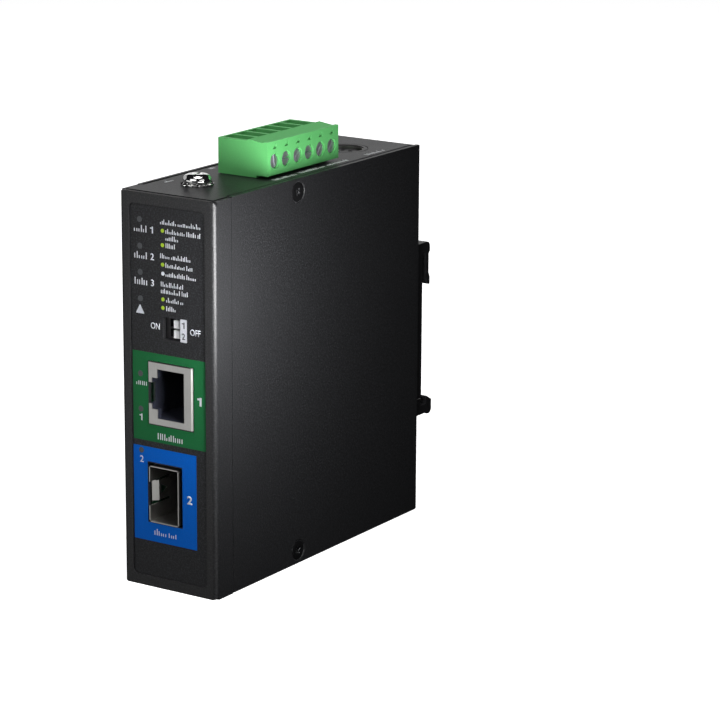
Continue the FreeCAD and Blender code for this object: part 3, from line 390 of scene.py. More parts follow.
def worn_and_lit_edges_group():
    """Mask of the outer edges, broken up by noise: 0 on flat ground, 1 on a worn edge with painted
    highlight.
    """
    group = bpy.data.node_groups.get("rubbed_edges")
    if group:
        return group
    group, inside, outside = start_group("rubbed_edges", {"Width": 0.0003}, ("Mask",))
    rounded = node(group, "ShaderNodeBevel", samples=6)
    across = node(group, "ShaderNodeVectorMath", operation="DOT_PRODUCT")
    group.links.new(inside.outputs["Width"], rounded.inputs["Radius"])
    group.links.new(rounded.outputs["Normal"], across.inputs[0])
    group.links.new(node(group, "ShaderNodeNewGeometry").outputs["Normal"], across.inputs[1])
    noise = node(group, "ShaderNodeTexNoise")
    noise.inputs["Scale"].default_value = 420.0
    noise.inputs["Detail"].default_value = 4.0
    group.links.new(node(group, "ShaderNodeTexCoord").outputs["Object"], noise.inputs["Vector"])
    both = node(group, "ShaderNodeMath", operation="MULTIPLY")
    group.links.new(remap(group, across.outputs["Value"], start=(0.99, 0.80)), both.inputs[0])
    group.links.new(remap(group, noise.outputs["Fac"], start=(0.42, 0.62)), both.inputs[1])
    group.links.new(both.outputs[0], outside.inputs["Mask"])
    return group


def place_group(tree, made, **values):
    """A group node with its own values."""
    placed = node(tree, "ShaderNodeGroup", node_tree=made)
    for name, value in values.items():
        placed.inputs[name.replace("_", " ")].default_value = value
    return placed


# ---------------------------------------------------------------- materials
def shader(name):
    """New material, its node tree and its Principled shader."""
    material = bpy.data.materials.new(name)
    material.use_nodes = True
    return material, material.node_tree, material.node_tree.nodes["Principled BSDF"]


def blend_colours(tree, mask, first, second):
    """Mix two colours by a mask; each is a plain colour or a socket."""
    mix = node(tree, "ShaderNodeMix", data_type="RGBA")
    tree.links.new(mask, mix.inputs["Factor"])
    for value, inlet in ((first, mix.inputs["A"]), (second, mix.inputs["B"])):
        if isinstance(value, bpy.types.NodeSocket):
            tree.links.new(value, inlet)
        else:
            inlet.default_value = (*value, 1.0)
    return mix.outputs["Result"]


def shade(value, factor):
    """A colour made lighter or darker."""
    return tuple(min(1.0, part * factor) for part in value)


def surface(tree, bsdf, tone, patches, rough, height, depth):
    """Wire what every finish has: its colour, uneven roughness between two values, and relief."""
    tree.links.new(tone, bsdf.inputs["Base Color"])
    tree.links.new(remap(tree, patches, end=rough), bsdf.inputs["Roughness"])
    bump = node(tree, "ShaderNodeBump")
    bump.inputs["Distance"].default_value = depth * MM
    tree.links.new(height, bump.inputs["Height"])
    tree.links.new(bump.outputs["Normal"], bsdf.inputs["Normal"])


def moulded(name, base, rough, size, depth, speck=1.25, spread=0.08, gloss=0.5, edge=None,
            rub=0.25, metal=0.0, coat=0.0):
    """Coated or moulded surface: fine grain, slow roughness patches and paler edges, partly wear
    and partly a painted highlight.

    The grain's size and depth and the width of the pale edge band are in mm. speck is how many
    times paler the grain's specks are, and spread how far the roughness strays.
    """
    made = bpy.data.materials.get(name)
    if made:
        return made
    material, tree, bsdf = shader(name)
    grain = place_group(tree, grain_group(), Grain_size=size * MM, Patch_size=18 * MM)
    tone = blend_colours(tree, grain.outputs["Tone"], base, shade(base, speck))
    # Edge colour painted over the rims: partly wear, partly a painted highlight.
    if edge:
        worn_and_lit = place_group(tree, worn_and_lit_edges_group(), Width=rub * MM)
        tone = blend_colours(tree, worn_and_lit.outputs["Mask"], tone, edge)
    surface(tree, bsdf, tone, grain.outputs["Patches"], (rough - spread, rough + spread),
            grain.outputs["Height"], depth)
    bsdf.inputs["Specular IOR Level"].default_value = gloss
    bsdf.inputs["Metallic"].default_value = metal
    bsdf.inputs["Coat Weight"].default_value = coat
    bsdf.inputs["Coat Roughness"].default_value = 0.15
    return material


def drawn(name, base, rough, spacing=0.12, stretch=(1.0, 1.0, 0.05), depth=0.002, spread=0.1,
          dark=0.8):
    """Plated or drawn metal: fine straight marks, spacing apart in mm, and uneven gloss."""
    made = bpy.data.materials.get(name)
    if made:
        return made
    material, tree, bsdf = shader(name)
    marks = place_group(tree, drawn_marks_group(), Spacing=spacing * MM, Stretch=stretch)
    grain = place_group(tree, grain_group(), Grain_size=0.3 * MM, Patch_size=4 * MM)
    tone = blend_colours(tree, marks.outputs["Tone"], shade(base, dark), base)
    surface(tree, bsdf, tone, grain.outputs["Patches"], (rough - spread, rough + spread),
            marks.outputs["Height"], depth)
    bsdf.inputs["Metallic"].default_value = 1.0
    return material


def finishes():
    """Material of each record slot, by the slot's name."""
    tint = bpy.context.scene.converter_colours
    return {
        # Each edge colour paints the rims paler than the ground: partly wear, partly painted
        # highlight.
        "case_black": moulded("powder_coat", tuple(tint.case), 0.42, size=0.4, depth=0.05,
                              speck=3.2, spread=0.04, edge=(0.03, 0.03, 0.032), rub=0.12),
        "label_black": moulded("overlay_film", tuple(tint.label), 0.5, size=0.4, depth=0.08,
                               speck=4.0, spread=0.04, gloss=0.42),
        # Black screw heads: the pale edge colour is a painted rim highlight.
        "screw_black": moulded("black_oxide", (0.03, 0.03, 0.032), 0.28, size=0.12, depth=0.004,
                               edge=(0.40, 0.41, 0.43), metal=0.8),
        "nickel": drawn("satin_nickel", (0.62, 0.615, 0.59), 0.36),
        "bright_nickel": drawn("bright_nickel", (0.80, 0.80, 0.79), 0.16, spread=0.05),
        "steel": drawn("zinc_plate", (0.56, 0.57, 0.60), 0.30, spacing=0.2),
        "board_green": moulded("solder_mask", (0.006, 0.035, 0.014), 0.3, size=0.6, depth=0.002,
                               coat=0.4),
        "black_plastic": moulded("black_moulding", (0.010, 0.010, 0.011), 0.42, size=0.2,
                                 depth=0.006, edge=(0.035, 0.035, 0.037)),
        "socket_plastic": moulded("socket_moulding", (0.022, 0.024, 0.036), 0.38, size=0.15,
                                  depth=0.004, edge=(0.04, 0.045, 0.06)),
        # Green plug: the paler edge colour is a painted edge highlight.
        "plug_green": moulded("plug_moulding", tuple(tint.plug), 0.5, size=0.3, depth=0.008,
                              speck=1.06, spread=0.06, gloss=0.14, edge=(0.22, 0.66, 0.26),
                              rub=0.12),
        "white_plastic": moulded("white_moulding", (0.78, 0.79, 0.80), 0.35, size=0.15,
                                 depth=0.003, speck=1.03),
        "light_pipe": moulded("clear_pipe", (0.62, 0.66, 0.68), 0.2, size=0.3, depth=0.002,
                              speck=1.05, coat=0.5),
        "lamp": moulded("lamp_epoxy", (0.70, 0.70, 0.58), 0.25, size=0.1, depth=0.002,
                        speck=1.04, coat=0.5),
        "gold": drawn("gold_flash", (0.83, 0.62, 0.26), 0.24, spread=0.06),
        "tin": drawn("tin_plate", (0.66, 0.65, 0.62), 0.34),
        "chip_black": moulded("epoxy_package", (0.014, 0.014, 0.015), 0.5, size=0.15,
                              depth=0.004),
        "ferrite": moulded("sintered_core", (0.03, 0.03, 0.032), 0.6, size=0.25, depth=0.01),
        "can": drawn("spun_can", (0.60, 0.62, 0.64), 0.3, stretch=(0.05, 1.0, 1.0)),
        "sink": drawn("anodised_fins", (0.10, 0.10, 0.105), 0.42),
        "spring_steel": drawn("spring_wire", (0.5, 0.5, 0.5), 0.28),
    }


def ink(name, base):
    """Screen-printed ink: nearly flat colour with the overlay's fine grain."""
    return moulded(name, base, 0.5, size=0.3, depth=0.012, speck=1.12, spread=0.05, gloss=0.15)


# ---------------------------------------------------------------- printing
def label_matrix(across, up):
    """Stand a flat mark, drawn in XY and facing +Z, on the label, facing -Y.

    across and up are in mm, from the case's left side and its base.
    """
    spot = Vector((CASE_LEFT + across * MM, LABEL_FACE, up * MM))
    return Matrix.Translation(spot) @ turned(90, "X")


def top_matrix(along, across):
    """Lay a flat mark on the top plate, to be read from the right.

    along and across are in mm, from the case's front and its middle.
    """
    sunk = 0.005 * MM
    spot = Vector((across * MM, CASE_FRONT + along * MM, TOP_PLATE - sunk))
    return Matrix.Translation(spot) @ turned(90)


def lettering(text, height, matrix, ink_height, wide, swell):
    """Numbers or a switch word as a thin closed mesh, centred on its place."""
    clear_selection()
    bpy.ops.object.text_add()
    drawing = bpy.context.object.data
    drawing.body = text
    drawing.align_x = "CENTER"
    drawing.align_y = "CENTER"
    drawing.resolution_u = 4
    drawing.offset = swell
    bpy.ops.object.convert(target="MESH")
    letters = bpy.context.object
    heights = [vertex.co.y for vertex in letters.data.vertices]
    low, high = min(heights), max(heights)
    size = height / (high - low)
    bpy.ops.object.mode_set(mode="EDIT")
    bpy.ops.mesh.select_all(action="SELECT")
    bpy.ops.transform.translate(value=(0, -(high + low) / 2, 0))
    stretch(size * wide, size, size)
    bpy.ops.mesh.remove_doubles(threshold=MERGE / 10)
    raise_up(ink_height)
    close(letters)
    return place(letters, matrix)


def bar(width, height, matrix, ink_height, round_off):
    """Printed bar whose corners are rounded by a share of its narrow side."""
    piece = begin("bar", bpy.ops.mesh.primitive_plane_add, size=1.0)
    stretch(width, height, 1)
    bpy.ops.mesh.bevel(offset=min(width, height) * round_off, segments=3, affect="VERTICES")
    raise_up(ink_height)
    close(piece)
    return place(piece, matrix)


def dot(diameter, matrix, ink_height):
    """Printed round dot whose rim is a little lower than its middle."""
    piece = begin("dot", bpy.ops.mesh.primitive_circle_add, vertices=20, radius=diameter / 2,
                  fill_type="NGON")
    raise_up(ink_height)
    choose(piece, "FACE", lambda f: f.normal.z > 0.9
           and f.calc_center_median().z > ink_height / 2)
    bpy.ops.mesh.inset(thickness=diameter * 0.1, depth=ink_height * 0.4)
    close(piece)
    return place(piece, matrix)


def strokes(boxes, matrix, ink_height):
    """Printed strokes, each a box of (left, right, low, high), raised together as one mesh."""
    piece = begin("strokes", bpy.ops.mesh.primitive_plane_add, size=1.0)
    bpy.ops.mesh.delete(type="VERT")
    for left, right, low, high in boxes:
        middle = ((left + right) / 2, (low + high) / 2, 0)
        bpy.ops.mesh.primitive_plane_add(size=1.0, location=middle)
        stretch(right - left, high - low, 1, middle)
    bpy.ops.mesh.select_all(action="SELECT")
    raise_up(ink_height)
    close(piece)
    return place(piece, matrix)


def printed(text, height, matrix, ink_height, wide=1.0, swell=FONT_SWELL):
    """Number or switch word; a 1 is drawn in strokes, since the plain font's 1 has no flag."""
    if text != "1":
        return lettering(text, height, matrix, ink_height, wide, swell)
    pen = height * (PEN_SHARE + 4 * swell)
    flag_reach, flag_foot = height * 0.30, height * 0.18
    stem = (0.0, pen, -height / 2, height / 2)
    flag = (-flag_reach, 0.0, flag_foot, flag_foot + pen * 0.8)
    return strokes([stem, flag], matrix, ink_height)


def tick_pair(left, wide, tall, chance):
    """Two upright ticks of uneven height that never touch, so that they make no letter."""
    pen = tall * PEN_SHARE
    foot = -tall / 2
    return [(start, start + pen, foot, foot + tall * chance.choice(TICK_SHARES))
            for start in (left, left + wide - pen)]


def tick_row(left, right, up, height, matrix_at, ink_height, chance):
    """Row of plain ticks in uneven groups, where a caption would stand."""
    wide, gap = height * MARK_SHARE, height * MARK_GAP_SHARE
    boxes = []
    across = 0.0
    in_group = chance.randint(*GROUP_SIZE)
    while across + wide <= (right - left) * MM + gap:
        boxes += tick_pair(across, wide, height, chance)
        across += wide + gap
        in_group -= 1
        if not in_group:
            across += wide / 2
            in_group = chance.randint(*GROUP_SIZE)
    return strokes(boxes, matrix_at(left, up), ink_height)


def opening_round(socket, margins):
    """Left, right, low and high edge, in mm, of an opening round a socket with its margins."""
    low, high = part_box(socket)
    near, far, below, above = margins
    return ((low.x - CASE_LEFT) / MM - near, (high.x - CASE_LEFT) / MM + far,
            low.z / MM - below, high.z / MM + above)


def colour_field(name, edges, opening, ink_height):
    """Printed field with a rectangular opening, cut by four straight cuts.

    edges and opening are each the left, right, low and high edge in mm.
    """
    left, right, low, high = edges
    piece = begin(name, bpy.ops.mesh.primitive_plane_add, size=1.0)
    stretch((right - left) * MM, (high - low) * MM, 1)
    bpy.ops.transform.translate(value=((left + right) / 2 * MM, (low + high) / 2 * MM, 0))
    near, far, bottom, top = (value * MM for value in opening)
    for point, normal in (((near, 0, 0), (1, 0, 0)), ((far, 0, 0), (1, 0, 0)),
                          ((0, bottom, 0), (0, 1, 0)), ((0, top, 0), (0, 1, 0))):
        bpy.ops.mesh.select_all(action="SELECT")
        bpy.ops.mesh.bisect(plane_co=point, plane_no=normal)
    choose(piece, "FACE", lambda f: near < f.calc_center_median().x < far
           and bottom < f.calc_center_median().y < top)
    bpy.ops.mesh.delete(type="FACE")
    bpy.ops.mesh.select_all(action="SELECT")
    raise_up(ink_height)
    close(piece)
    return place(piece, label_matrix(0, 0))


# ---------------------------------------------------------------- operators
class ConverterOperator:
    """What every operator shares: make() does its work with the user's sizes and colours."""
    bl_options = {"REGISTER", "UNDO"}

    def execute(self, context):
        self.make(context.scene.converter_sizes, context.scene.converter_colours)
        return {"FINISHED"}


class CONVERTER_OT_finishes(ConverterOperator, bpy.types.Operator):
    """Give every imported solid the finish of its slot"""
    bl_idname = "converter.finishes"
    bl_label = "Finishes"

    def make(self, sizes, tint):
        made = finishes()
        for part in frame["record"]["subparts"]:
            solid = frame["nodes"][part["node"]]
            if not solid.material_slots:
                solid.data.materials.append(None)
            for holder in solid.material_slots:
                holder.link = "OBJECT"
                holder.material = made[part["material_slot"]]


class CONVERTER_OT_colour_fields(ConverterOperator, bpy.types.Operator):
    """Print the two coloured fields round the sockets"""
    bl_idname = "converter.colour_fields"
    bl_label = "Colour fields"

    # Colour, socket, the field's left, right, low and high edge, and the margins of its opening
    fields = (
        ("green", "network_socket_shell", (3.28, 25.7, 38.15, 61.0), (0.25, 0.3, 0.3, 0.3)),
        ("blue", "transceiver_cage", (3.15, 22.65, 12.0, 36.55), (-0.68, 0.67, -0.28, 0.6)),
    )

    def make(self, sizes, tint):
        for hue, socket, edges, margins in self.fields:
            field = colour_field(hue + "_field", edges, opening_round(socket, margins),
                                 sizes.ink * 0.5)
            base = tuple(getattr(tint, hue + "_field"))
            dress(field, "case", ink(hue + "_ink", base), "label_black")


class CONVERTER_OT_lamp_windows(ConverterOperator, bpy.types.Operator):
    """Make the seven lamp windows of the label"""
    bl_idname = "converter.lamp_windows"
    bl_label = "Lamp windows"

    # Across and up on the label, from the top one down
    places = ((5.94, 94.4), (5.92, 87.7), (5.94, 81.1), (5.9, 74.4), (5.64, 55.2), (5.65, 46.1),
              (5.63, 35.4))

    def make(self, sizes, tint):
        glass = moulded("lamp_window", tuple(tint.lamp), 0.3, size=0.2, depth=0.01, speck=1.4,
                        coat=0.3)
        width, thick = sizes.lamp, sizes.ink
        pattern = lathe("lamp_window", [(width / 2, 0), (width / 2, thick),
                                        (width * 0.42, thick * 1.5),
                                        (width * 0.2, thick * 1.2)], 24)
        for number, (across, up) in enumerate(self.places, start=1):
            lamp = copy_of(pattern, f"lamp_window_{number}")
            place(lamp, label_matrix(across, up))
            dress(lamp, "case", glass, "light_pipe")
        drop(pattern)


class CONVERTER_OT_label_print(ConverterOperator, bpy.types.Operator):
    """Print the numbers, the legend and the switch words on the label"""
    bl_idname = "converter.label_print"
    bl_label = "Label print"

    # Rows of ticks: left, right and height of the middle
    legend = ((12.3, 25.0, 94.5), (12.2, 21.6, 86.0), (12.3, 19.1, 78.9), (12.3, 21.1, 77.2),
              (13.9, 24.9, 92.3), (13.9, 17.4, 90.6), (13.9, 17.0, 88.7), (13.8, 21.9, 83.8),
              (13.8, 22.8, 81.55), (13.9, 19.6, 75.06), (13.9, 17.0, 72.9))
    captions = ((10.8, 18.9, 39.8), (9.4, 16.5, 14.6))
    power = ((4.2, 8.3, 92.1), (4.2, 8.3, 85.4), (4.2, 8.3, 78.8))
    link = ((4.3, 7.6, 53.0),)
    # Numbers and switch words: text, across and up
    lamp_numbers = (("1", 9.7, 92.1), ("2", 9.7, 85.4), ("3", 9.7, 78.8), ("1", 5.7, 44.0),
                    ("2", 5.7, 33.1))
    port_numbers = (("1", 23.8, 50.6), ("2", 20.5, 24.7))
    switch_words = (("ON", 10.45, 68.0), ("OFF", 22.65, 67.9))
    alarm_place = (5.79, 71.4)
    seed = 7

    def make(self, sizes, tint):
        chance = random.Random(self.seed)
        white = ink("white_ink", tuple(tint.print_white))
        thick = sizes.ink
        marks = []
        for rows, height in ((self.legend, sizes.legend * 0.9),
                             (self.captions, sizes.legend * 1.2),
                             (self.power, sizes.lamp_number),
                             (self.link, sizes.lamp_number * 0.85)):
            marks += [tick_row(*row, height, label_matrix, thick, chance) for row in rows]
        for texts, height, wide, swell in (
                (self.lamp_numbers, sizes.lamp_number, 1.0, FONT_SWELL),
                (self.port_numbers, sizes.port_number, 1.1, 0.03),
                (self.switch_words, sizes.capital, 0.82, FONT_SWELL)):
            marks += [printed(text, height, label_matrix(across, up), thick, wide, swell)
                      for text, across, up in texts]
        dress(join("label_print", marks), "case", white, "white_plastic")
        dress(self.alarm_mark(thick), "case", white, "white_plastic")

    def alarm_mark(self, thick):
        """Plain rounded triangle with a sunk middle, below the fourth lamp."""
        radius, corner, border = 1.55 * MM, 0.25 * MM, 0.3 * MM
        triangle = begin("alarm_mark", bpy.ops.mesh.primitive_circle_add, vertices=3,
                         radius=radius, fill_type="NGON")
        bpy.ops.mesh.bevel(offset=corner, segments=3, affect="VERTICES")
        raise_up(thick)
        choose(triangle, "FACE", lambda f: f.calc_center_median().z > thick * 0.9)
        bpy.ops.mesh.inset(thickness=border, depth=-thick * 0.8)
        close(triangle)
        return place(triangle, label_matrix(*self.alarm_place))


class CONVERTER_OT_legend_dots(ConverterOperator, bpy.types.Operator):
    """Print the dots of the legend"""
    bl_idname = "converter.legend_dots"
    bl_label = "Legend dots"

    # Across and up on the label
    places = ((12.95, 92.3), (12.9, 88.7), (12.9, 83.8), (12.87, 75.06), (12.84, 72.9))
    pale_place = (12.96, 81.55)

    def make(self, sizes, tint):
        dots = [dot(sizes.legend_dot, label_matrix(*spot), sizes.ink) for spot in self.places]
        dress(join("legend_dots", dots), "case", ink("dot_ink", tuple(tint.dot)), "label_black")
        pale = dot(sizes.legend_dot, label_matrix(*self.pale_place), sizes.ink)
        pale.name = "legend_dot_pale"
        dress(pale, "case", ink("white_ink", tuple(tint.print_white)), "white_plastic")


class CONVERTER_OT_switch_strip(ConverterOperator, bpy.types.Operator):
    """Make the white strip beside the switch and its two numbers"""
    bl_idname = "converter.switch_strip"
    bl_label = "Switch strip"

    across, middle = 19.1, 67.9          # on the label
    width, height = 2.0 * MM, 5.8 * MM
    number_height = 1.6 * MM
    numbers = (("1", 69.3), ("2", 66.5))

    def make(self, sizes, tint):
        strip = bar(self.width, self.height, label_matrix(self.across, self.middle), sizes.ink,
                    0.08)
        strip.name = "switch_strip"
        dress(strip, "case", ink("strip_ink", (0.56, 0.575, 0.62)), "white_plastic")
        above_strip = sizes.ink * 1.6
        numbers = [printed(text, self.number_height, label_matrix(self.across, up), above_strip)
                   for text, up in self.numbers]
        dress(join("switch_numbers", numbers), "case", ink("grey_ink", (0.09, 0.09, 0.10)),
              "label_black")


class CONVERTER_OT_top_print(ConverterOperator, bpy.types.Operator):
    """Print the rows of small marks along the top plate's edges"""
    bl_idname = "converter.top_print"
    bl_label = "Top print"

    # Nearest and farthest from the front, and across from the middle
    rows = ((30.4, 40.4, 10.7), (42.0, 52.8, 10.6), (53.9, 63.3, 10.6), (72.2, 81.0, 10.8),
            (12.6, 16.6, -10.1), (33.2, 35.8, -11.3))
    height = 1.4 * MM
    seed = 11

    def make(self, sizes, tint):
        chance = random.Random(self.seed)
        marks = [tick_row(*row, self.height, top_matrix, sizes.ink, chance) for row in self.rows]
        dress(join("top_print", marks), "case", ink("grey_print", (0.90, 0.92, 0.95)),
              "white_plastic")


class CONVERTER_OT_cover_screws(ConverterOperator, bpy.types.Operator):
    """Model one countersunk cover screw and copy it to its four holes"""
    bl_idname = "converter.cover_screws"
    bl_label = "Cover screws"

    def make(self, sizes, tint):
        low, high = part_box("cover_screws")
        sink = high.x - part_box("right_cover")[1].x
        from_end = 2.52 * MM             # from the end of the group's box to a screw's middle
        pattern = countersunk_screw("cover_screw", sizes.cover_head / 2, 1.35 * MM,
                                    4.0 * MM + sink, 1.3 * MM, 0.1 * MM,
                                    (0.75 * MM, 3.1 * MM))
        black = finishes()["screw_black"]
        number = 0
        for side in (-1, 1):
            for up in (low.z + from_end, high.z - from_end):
                number += 1
                screw = copy_of(pattern, f"cover_screw_{number}")
                spot = Matrix.Translation((side * high.x, (low.y + high.y) / 2, up))
                place(screw, spot @ turned(side * 90, "Y") @ turned(20 + 31 * number))
                dress(screw, "case", black, "screw_black", "cover_screws")
        drop(pattern)


class CONVERTER_OT_clip_screws(ConverterOperator, bpy.types.Operator):
    """Model one countersunk clip screw and copy it to its three holes"""
    bl_idname = "converter.clip_screws"
    bl_label = "Clip screws"

    # Across from the middle and up, in mm
    places = ((-9.7, 38.0), (9.7, 38.0), (0.0, 65.0))

    def make(self, sizes, tint):
        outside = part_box("din_clip_screws")[1].y
        pattern = countersunk_screw("clip_screw", sizes.clip_head / 2, 1.4 * MM, 6.6 * MM,
                                    1.7 * MM, 0.12 * MM, (0.8 * MM, 3.0 * MM))
        black = finishes()["screw_black"]
        for number, (across, up) in enumerate(self.places, start=1):
            screw = copy_of(pattern, f"clip_screw_{number}")
            spot = Matrix.Translation((across * MM, outside, up * MM))
            place(screw, spot @ turned(-90, "X") @ turned(25 * number))
            dress(screw, "case", black, "screw_black", "din_clip_screws")
        drop(pattern)


class CONVERTER_OT_earth_screw(ConverterOperator, bpy.types.Operator):
    """Model the chromed earth screw and its toothed lock washer"""
    bl_idname = "converter.earth_screw"
    bl_label = "Earth screw"

    # Outline of the domed head: shares of its radius and of its height
    dome = ((1.0, 0.42), (0.96, 0.62), (0.86, 0.80), (0.70, 0.93), (0.50, 0.99), (0.3, 1.0))
    tooth_count = 12

    def make(self, sizes, tint):
        chrome = drawn("mirror_plate", (0.86, 0.86, 0.85), 0.06, spacing=0.3, depth=0.0003,
                       spread=0.03, dark=0.96)
        low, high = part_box("ground_screw")
        across, along = ((low + high) / 2).xy
        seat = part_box("ground_washer")[1].z
        rise = high.z - seat
        head = sizes.ground_head / 2
        shank, edge = 1.9 * MM, 0.15 * MM
        outline = [(1.7 * MM, low.z - seat), (shank, low.z - seat + 0.3 * MM), (shank, 0),
                   (head - edge, 0), (head, edge)]
        outline += [(head * out, rise * up) for out, up in self.dome]
        screw = lathe("earth_screw", outline, 64)
        carve(screw, cross_cutter(0.9 * MM, sizes.ground_recess, 1.2 * MM, rise))
        soften(screw, 0.07 * MM)
        place(screw, Matrix.Translation((across, along, seat)) @ turned(12))
        dress(screw, "case", chrome, "bright_nickel", "ground_screw")
        self.washer(chrome, across, along)

    def washer(self, chrome, across, along):
        """Lock washer: a turned ring with a hole, and teeth twisted out of its plane."""
        low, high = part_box("ground_washer")
        thick = high.z - low.z
        outer = (high.x - low.x) / 2
        hole_radius, inner, band = 2.05 * MM, 2.15 * MM, outer - 1.0 * MM
        ring = lathe("earth_washer", [(inner, thick * 0.2), (band, thick * 0.2),
                                      (band, thick * 0.8), (inner, thick * 0.8)])
        hole = begin("hole", bpy.ops.mesh.primitive_cylinder_add, vertices=TURNED_SIDES,
                     radius=hole_radius, depth=4 * thick)
        bpy.ops.object.mode_set(mode="OBJECT")
        carve(ring, hole)
        tooth = begin("tooth", bpy.ops.mesh.primitive_cube_add, size=1.0)
        stretch(1.35 * MM, 1.15 * MM, thick * 0.5)
        bpy.ops.transform.translate(value=(outer - 0.72 * MM, 0, thick / 2))
        choose(tooth, "FACE", lambda f: f.normal.x > 0.9)
        bpy.ops.transform.rotate(value=math.radians(24), orient_axis="X",
                                 center_override=(outer, 0, thick / 2))
        close(tooth)
        soften(tooth, 0.06 * MM)
        teeth = [ring]
        step = 360 / self.tooth_count
        for index in range(self.tooth_count):
            twin = copy_of(tooth, f"tooth_{index}")
            place(twin, turned(step * index + 8))
            teeth.append(twin)
        drop(tooth)
        washer = join("earth_washer", teeth)
        place(washer, Matrix.Translation((across, along, low.z)))
        dress(washer, "case", chrome, "bright_nickel", "ground_washer")


class CONVERTER_OT_clamp_screws(ConverterOperator, bpy.types.Operator):
    """Model one slotted clamp screw with its thread and copy it to the six poles"""
    bl_idname = "converter.clamp_screws"
    bl_label = "Clamp screws"

    turns = (12, 95, 135, 90, -35, -35)  # of the slots, in degrees, from the front pole on

    def make(self, sizes, tint):
        zinc = drawn("screw_zinc", (0.80, 0.79, 0.86), 0.50, spacing=0.15, depth=0.001)
        low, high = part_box("clamp_screw_1")
        length = high.x - low.x
        pattern = lathe("clamp_screw", self.outline(sizes.clamp_head / 2, length), 36)
        slot = begin("slot", bpy.ops.mesh.primitive_cube_add, size=1.0)
        stretch(5 * MM, sizes.clamp_slot, 3.0 * MM)
        bpy.ops.transform.translate(value=(0, 0, length))
        close(slot)
        carve(pattern, slot)
        soften(pattern, 0.04 * MM)
        for number, degrees in enumerate(self.turns, start=1):
            low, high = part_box(f"clamp_screw_{number}")
            screw = copy_of(pattern, f"terminal_screw_{number}")
            spot = Matrix.Translation((low.x, (low.y + high.y) / 2, (low.z + high.z) / 2))
            place(screw, spot @ turned(degrees, "X") @ turned(90, "Y"))
            dress(screw, f"screw_{number}", zinc, "steel", f"clamp_screw_{number}")
        drop(pattern)

    def outline(self, head, length):
        """Point, ridges of the thread, and head with its rounded edge, as (radius, height)."""
        root, crest, pitch, flank = 1.25 * MM, 1.42 * MM, 0.42 * MM, 0.2 * MM
        neck = length - 2.7 * MM
        outline = [(1.0 * MM, 0)]
        up = 0.25 * MM
        while up < neck - 0.3 * MM:
            outline += [(root, up), (crest, up + flank)]
            up += pitch
        return outline + [(1.3 * MM, neck), (head, neck + 0.05 * MM), (head, length - 0.18 * MM),
                          (head - 0.16 * MM, length), (head * 0.5, length)]


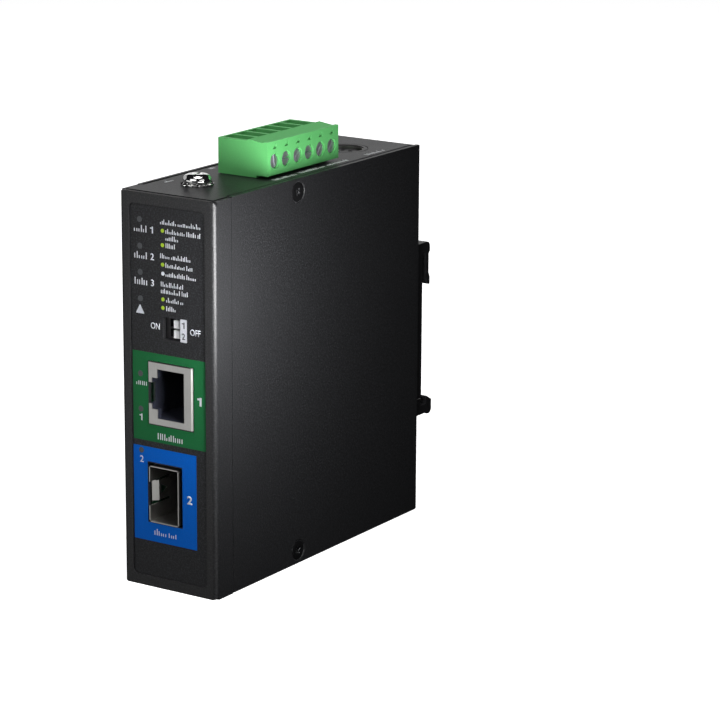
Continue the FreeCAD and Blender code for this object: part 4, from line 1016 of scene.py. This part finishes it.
class CONVERTER_OT_studio(ConverterOperator, bpy.types.Operator):
    """Set the pale floor, the soft lights and the camera"""
    bl_idname = "converter.studio"
    bl_label = "Studio"

    # Camera: its place and aim, focal length and film width in mm, and roll in degrees
    camera_at = (0.43001, -0.61973, 0.24544)
    looks_at = (0.02651, -0.00560, 0.05404)
    lens, film = 148.98, 36.0
    roll = 0.330
    nearest, farthest = 0.01, 20.0       # what it can see
    # Lights: name, place, aim, width, height and power
    lights = (
        ("lamp", (0.055, -0.060, 0.078), (0.0144, -0.045, 0.072), 0.04, 0.04, 0.115),
        ("low_card", (-0.24, -0.40, 0.012), (0.0, -0.02, 0.05), 0.45, 0.30, 0.31),
        ("back_card", (-0.50, 0.75, 0.15), (0, 0, 0.09), 0.7, 0.6, 1.15),
        ("above", (0.05, 0.0, 1.2), (0, 0, 0.08), 0.6, 0.6, 7.0),
        ("right_box", (0.80, -0.23, 0.42), (0, -0.03, 0.10), 0.6, 0.4, 0.80),
        ("left_card", (-0.60, 0.05, 0.25), (0, 0, 0.08), 0.5, 0.4, 0.3),
        ("lip_card", (0.36, -0.28, 0.03), (-0.007, -0.05, 0.024), 0.25, 0.12, 0.38),
        ("front_box", (0.0, -0.60, 0.39), (0, -0.03, 0.11), 0.55, 0.42, 1.0),
    )
    only_in_gloss = ("lip_card",)        # seen in reflections, but lighting nothing else

    def make(self, sizes, tint):
        scene = bpy.context.scene
        self.floor()
        self.world(scene)
        for light in self.lights:
            self.light(*light)
        self.camera(scene)
        scene.view_settings.view_transform = "Standard"

    def floor(self):
        """Pale floor that doesn't tint the object from below."""
        floor = begin("studio_floor", bpy.ops.mesh.primitive_plane_add, size=6.0)
        bpy.ops.mesh.subdivide(number_cuts=2)
        bpy.ops.object.mode_set(mode="OBJECT")
        pale, _, bsdf = shader("studio_floor")
        bsdf.inputs["Base Color"].default_value = (0.9, 0.9, 0.9, 1)
        bsdf.inputs["Roughness"].default_value = 0.7
        bsdf.inputs["Emission Strength"].default_value = 0.85
        bsdf.inputs["Emission Color"].default_value = (1, 1, 1, 1)
        floor.data.materials.append(pale)
        floor.visible_glossy = False
        floor.visible_diffuse = False

    def world(self, scene):
        """White where the camera sees it, nearly dark for the light that it gives."""
        world = bpy.data.worlds.new("studio_white")
        scene.world = world
        world.use_nodes = True
        tree = world.node_tree
        dim = tree.nodes["Background"]
        dim.inputs["Color"].default_value = (0.010, 0.010, 0.011, 1)
        bright = node(tree, "ShaderNodeBackground")
        bright.inputs["Color"].default_value = (1, 1, 1, 1)
        ray = node(tree, "ShaderNodeLightPath")
        mix = node(tree, "ShaderNodeMixShader")
        tree.links.new(ray.outputs["Is Camera Ray"], mix.inputs[0])
        tree.links.new(dim.outputs[0], mix.inputs[1])
        tree.links.new(bright.outputs[0], mix.inputs[2])
        tree.links.new(mix.outputs[0], tree.nodes["World Output"].inputs["Surface"])

    def light(self, name, spot, aim, width, height, power):
        """Soft rectangular light, itself out of sight."""
        clear_selection()
        bpy.ops.object.light_add(type="AREA", location=spot)
        lamp = bpy.context.object
        lamp.name = "studio_" + name
        lamp.visible_camera = False
        lamp.visible_diffuse = name not in self.only_in_gloss
        lamp.data.shape = "RECTANGLE"
        lamp.data.size = width
        lamp.data.size_y = height
        lamp.data.energy = power
        lamp.rotation_mode = "QUATERNION"
        lamp.rotation_quaternion = (Vector(aim) - Vector(spot)).to_track_quat("-Z", "Y")

    def camera(self, scene):
        """Long lens from the front right, a little above the converter."""
        clear_selection()
        bpy.ops.object.camera_add(location=self.camera_at)
        camera = bpy.context.object
        camera.name = "studio_camera"
        camera.data.lens = self.lens
        camera.data.sensor_width = self.film
        camera.data.clip_start = self.nearest
        camera.data.clip_end = self.farthest
        aim = (Vector(self.looks_at) - Vector(self.camera_at)).to_track_quat("-Z", "Y")
        camera.rotation_mode = "QUATERNION"
        camera.rotation_quaternion = aim @ Quaternion((0, 0, 1), math.radians(self.roll))
        scene.camera = camera


class CONVERTER_PT_panel(bpy.types.Panel):
    """Sidebar panel that lists the converter's operators"""
    bl_idname = "CONVERTER_PT_panel"
    bl_label = "Converter"
    bl_space_type = "VIEW_3D"
    bl_region_type = "UI"
    bl_category = "Converter"

    def draw(self, context):
        layout = self.layout
        for group in (context.scene.converter_sizes, context.scene.converter_colours):
            for key in group.__annotations__:
                layout.prop(group, key)
        for operator in OPERATORS:
            layout.operator(operator.bl_idname)


OPERATORS = (
    CONVERTER_OT_finishes,
    CONVERTER_OT_colour_fields,
    CONVERTER_OT_lamp_windows,
    CONVERTER_OT_label_print,
    CONVERTER_OT_legend_dots,
    CONVERTER_OT_switch_strip,
    CONVERTER_OT_top_print,
    CONVERTER_OT_cover_screws,
    CONVERTER_OT_clip_screws,
    CONVERTER_OT_earth_screw,
    CONVERTER_OT_clamp_screws,
    CONVERTER_OT_studio,
)
CLASSES = (ConverterSizes, ConverterColours) + OPERATORS + (CONVERTER_PT_panel,)


def register():
    """Register the classes and give the scene its sizes and colours."""
    for cls in CLASSES:
        bpy.utils.register_class(cls)
    bpy.types.Scene.converter_sizes = bpy.props.PointerProperty(type=ConverterSizes)
    bpy.types.Scene.converter_colours = bpy.props.PointerProperty(type=ConverterColours)


def unregister():
    """Undo register()."""
    del bpy.types.Scene.converter_colours
    del bpy.types.Scene.converter_sizes
    for cls in reversed(CLASSES):
        bpy.utils.unregister_class(cls)


def main():
    """Run every operator in order."""
    register()
    for operator in OPERATORS:
        family, name = operator.bl_idname.split(".")
        getattr(getattr(bpy.ops, family), name)()
    clear_selection()


if __name__ == "__main__":
    main()
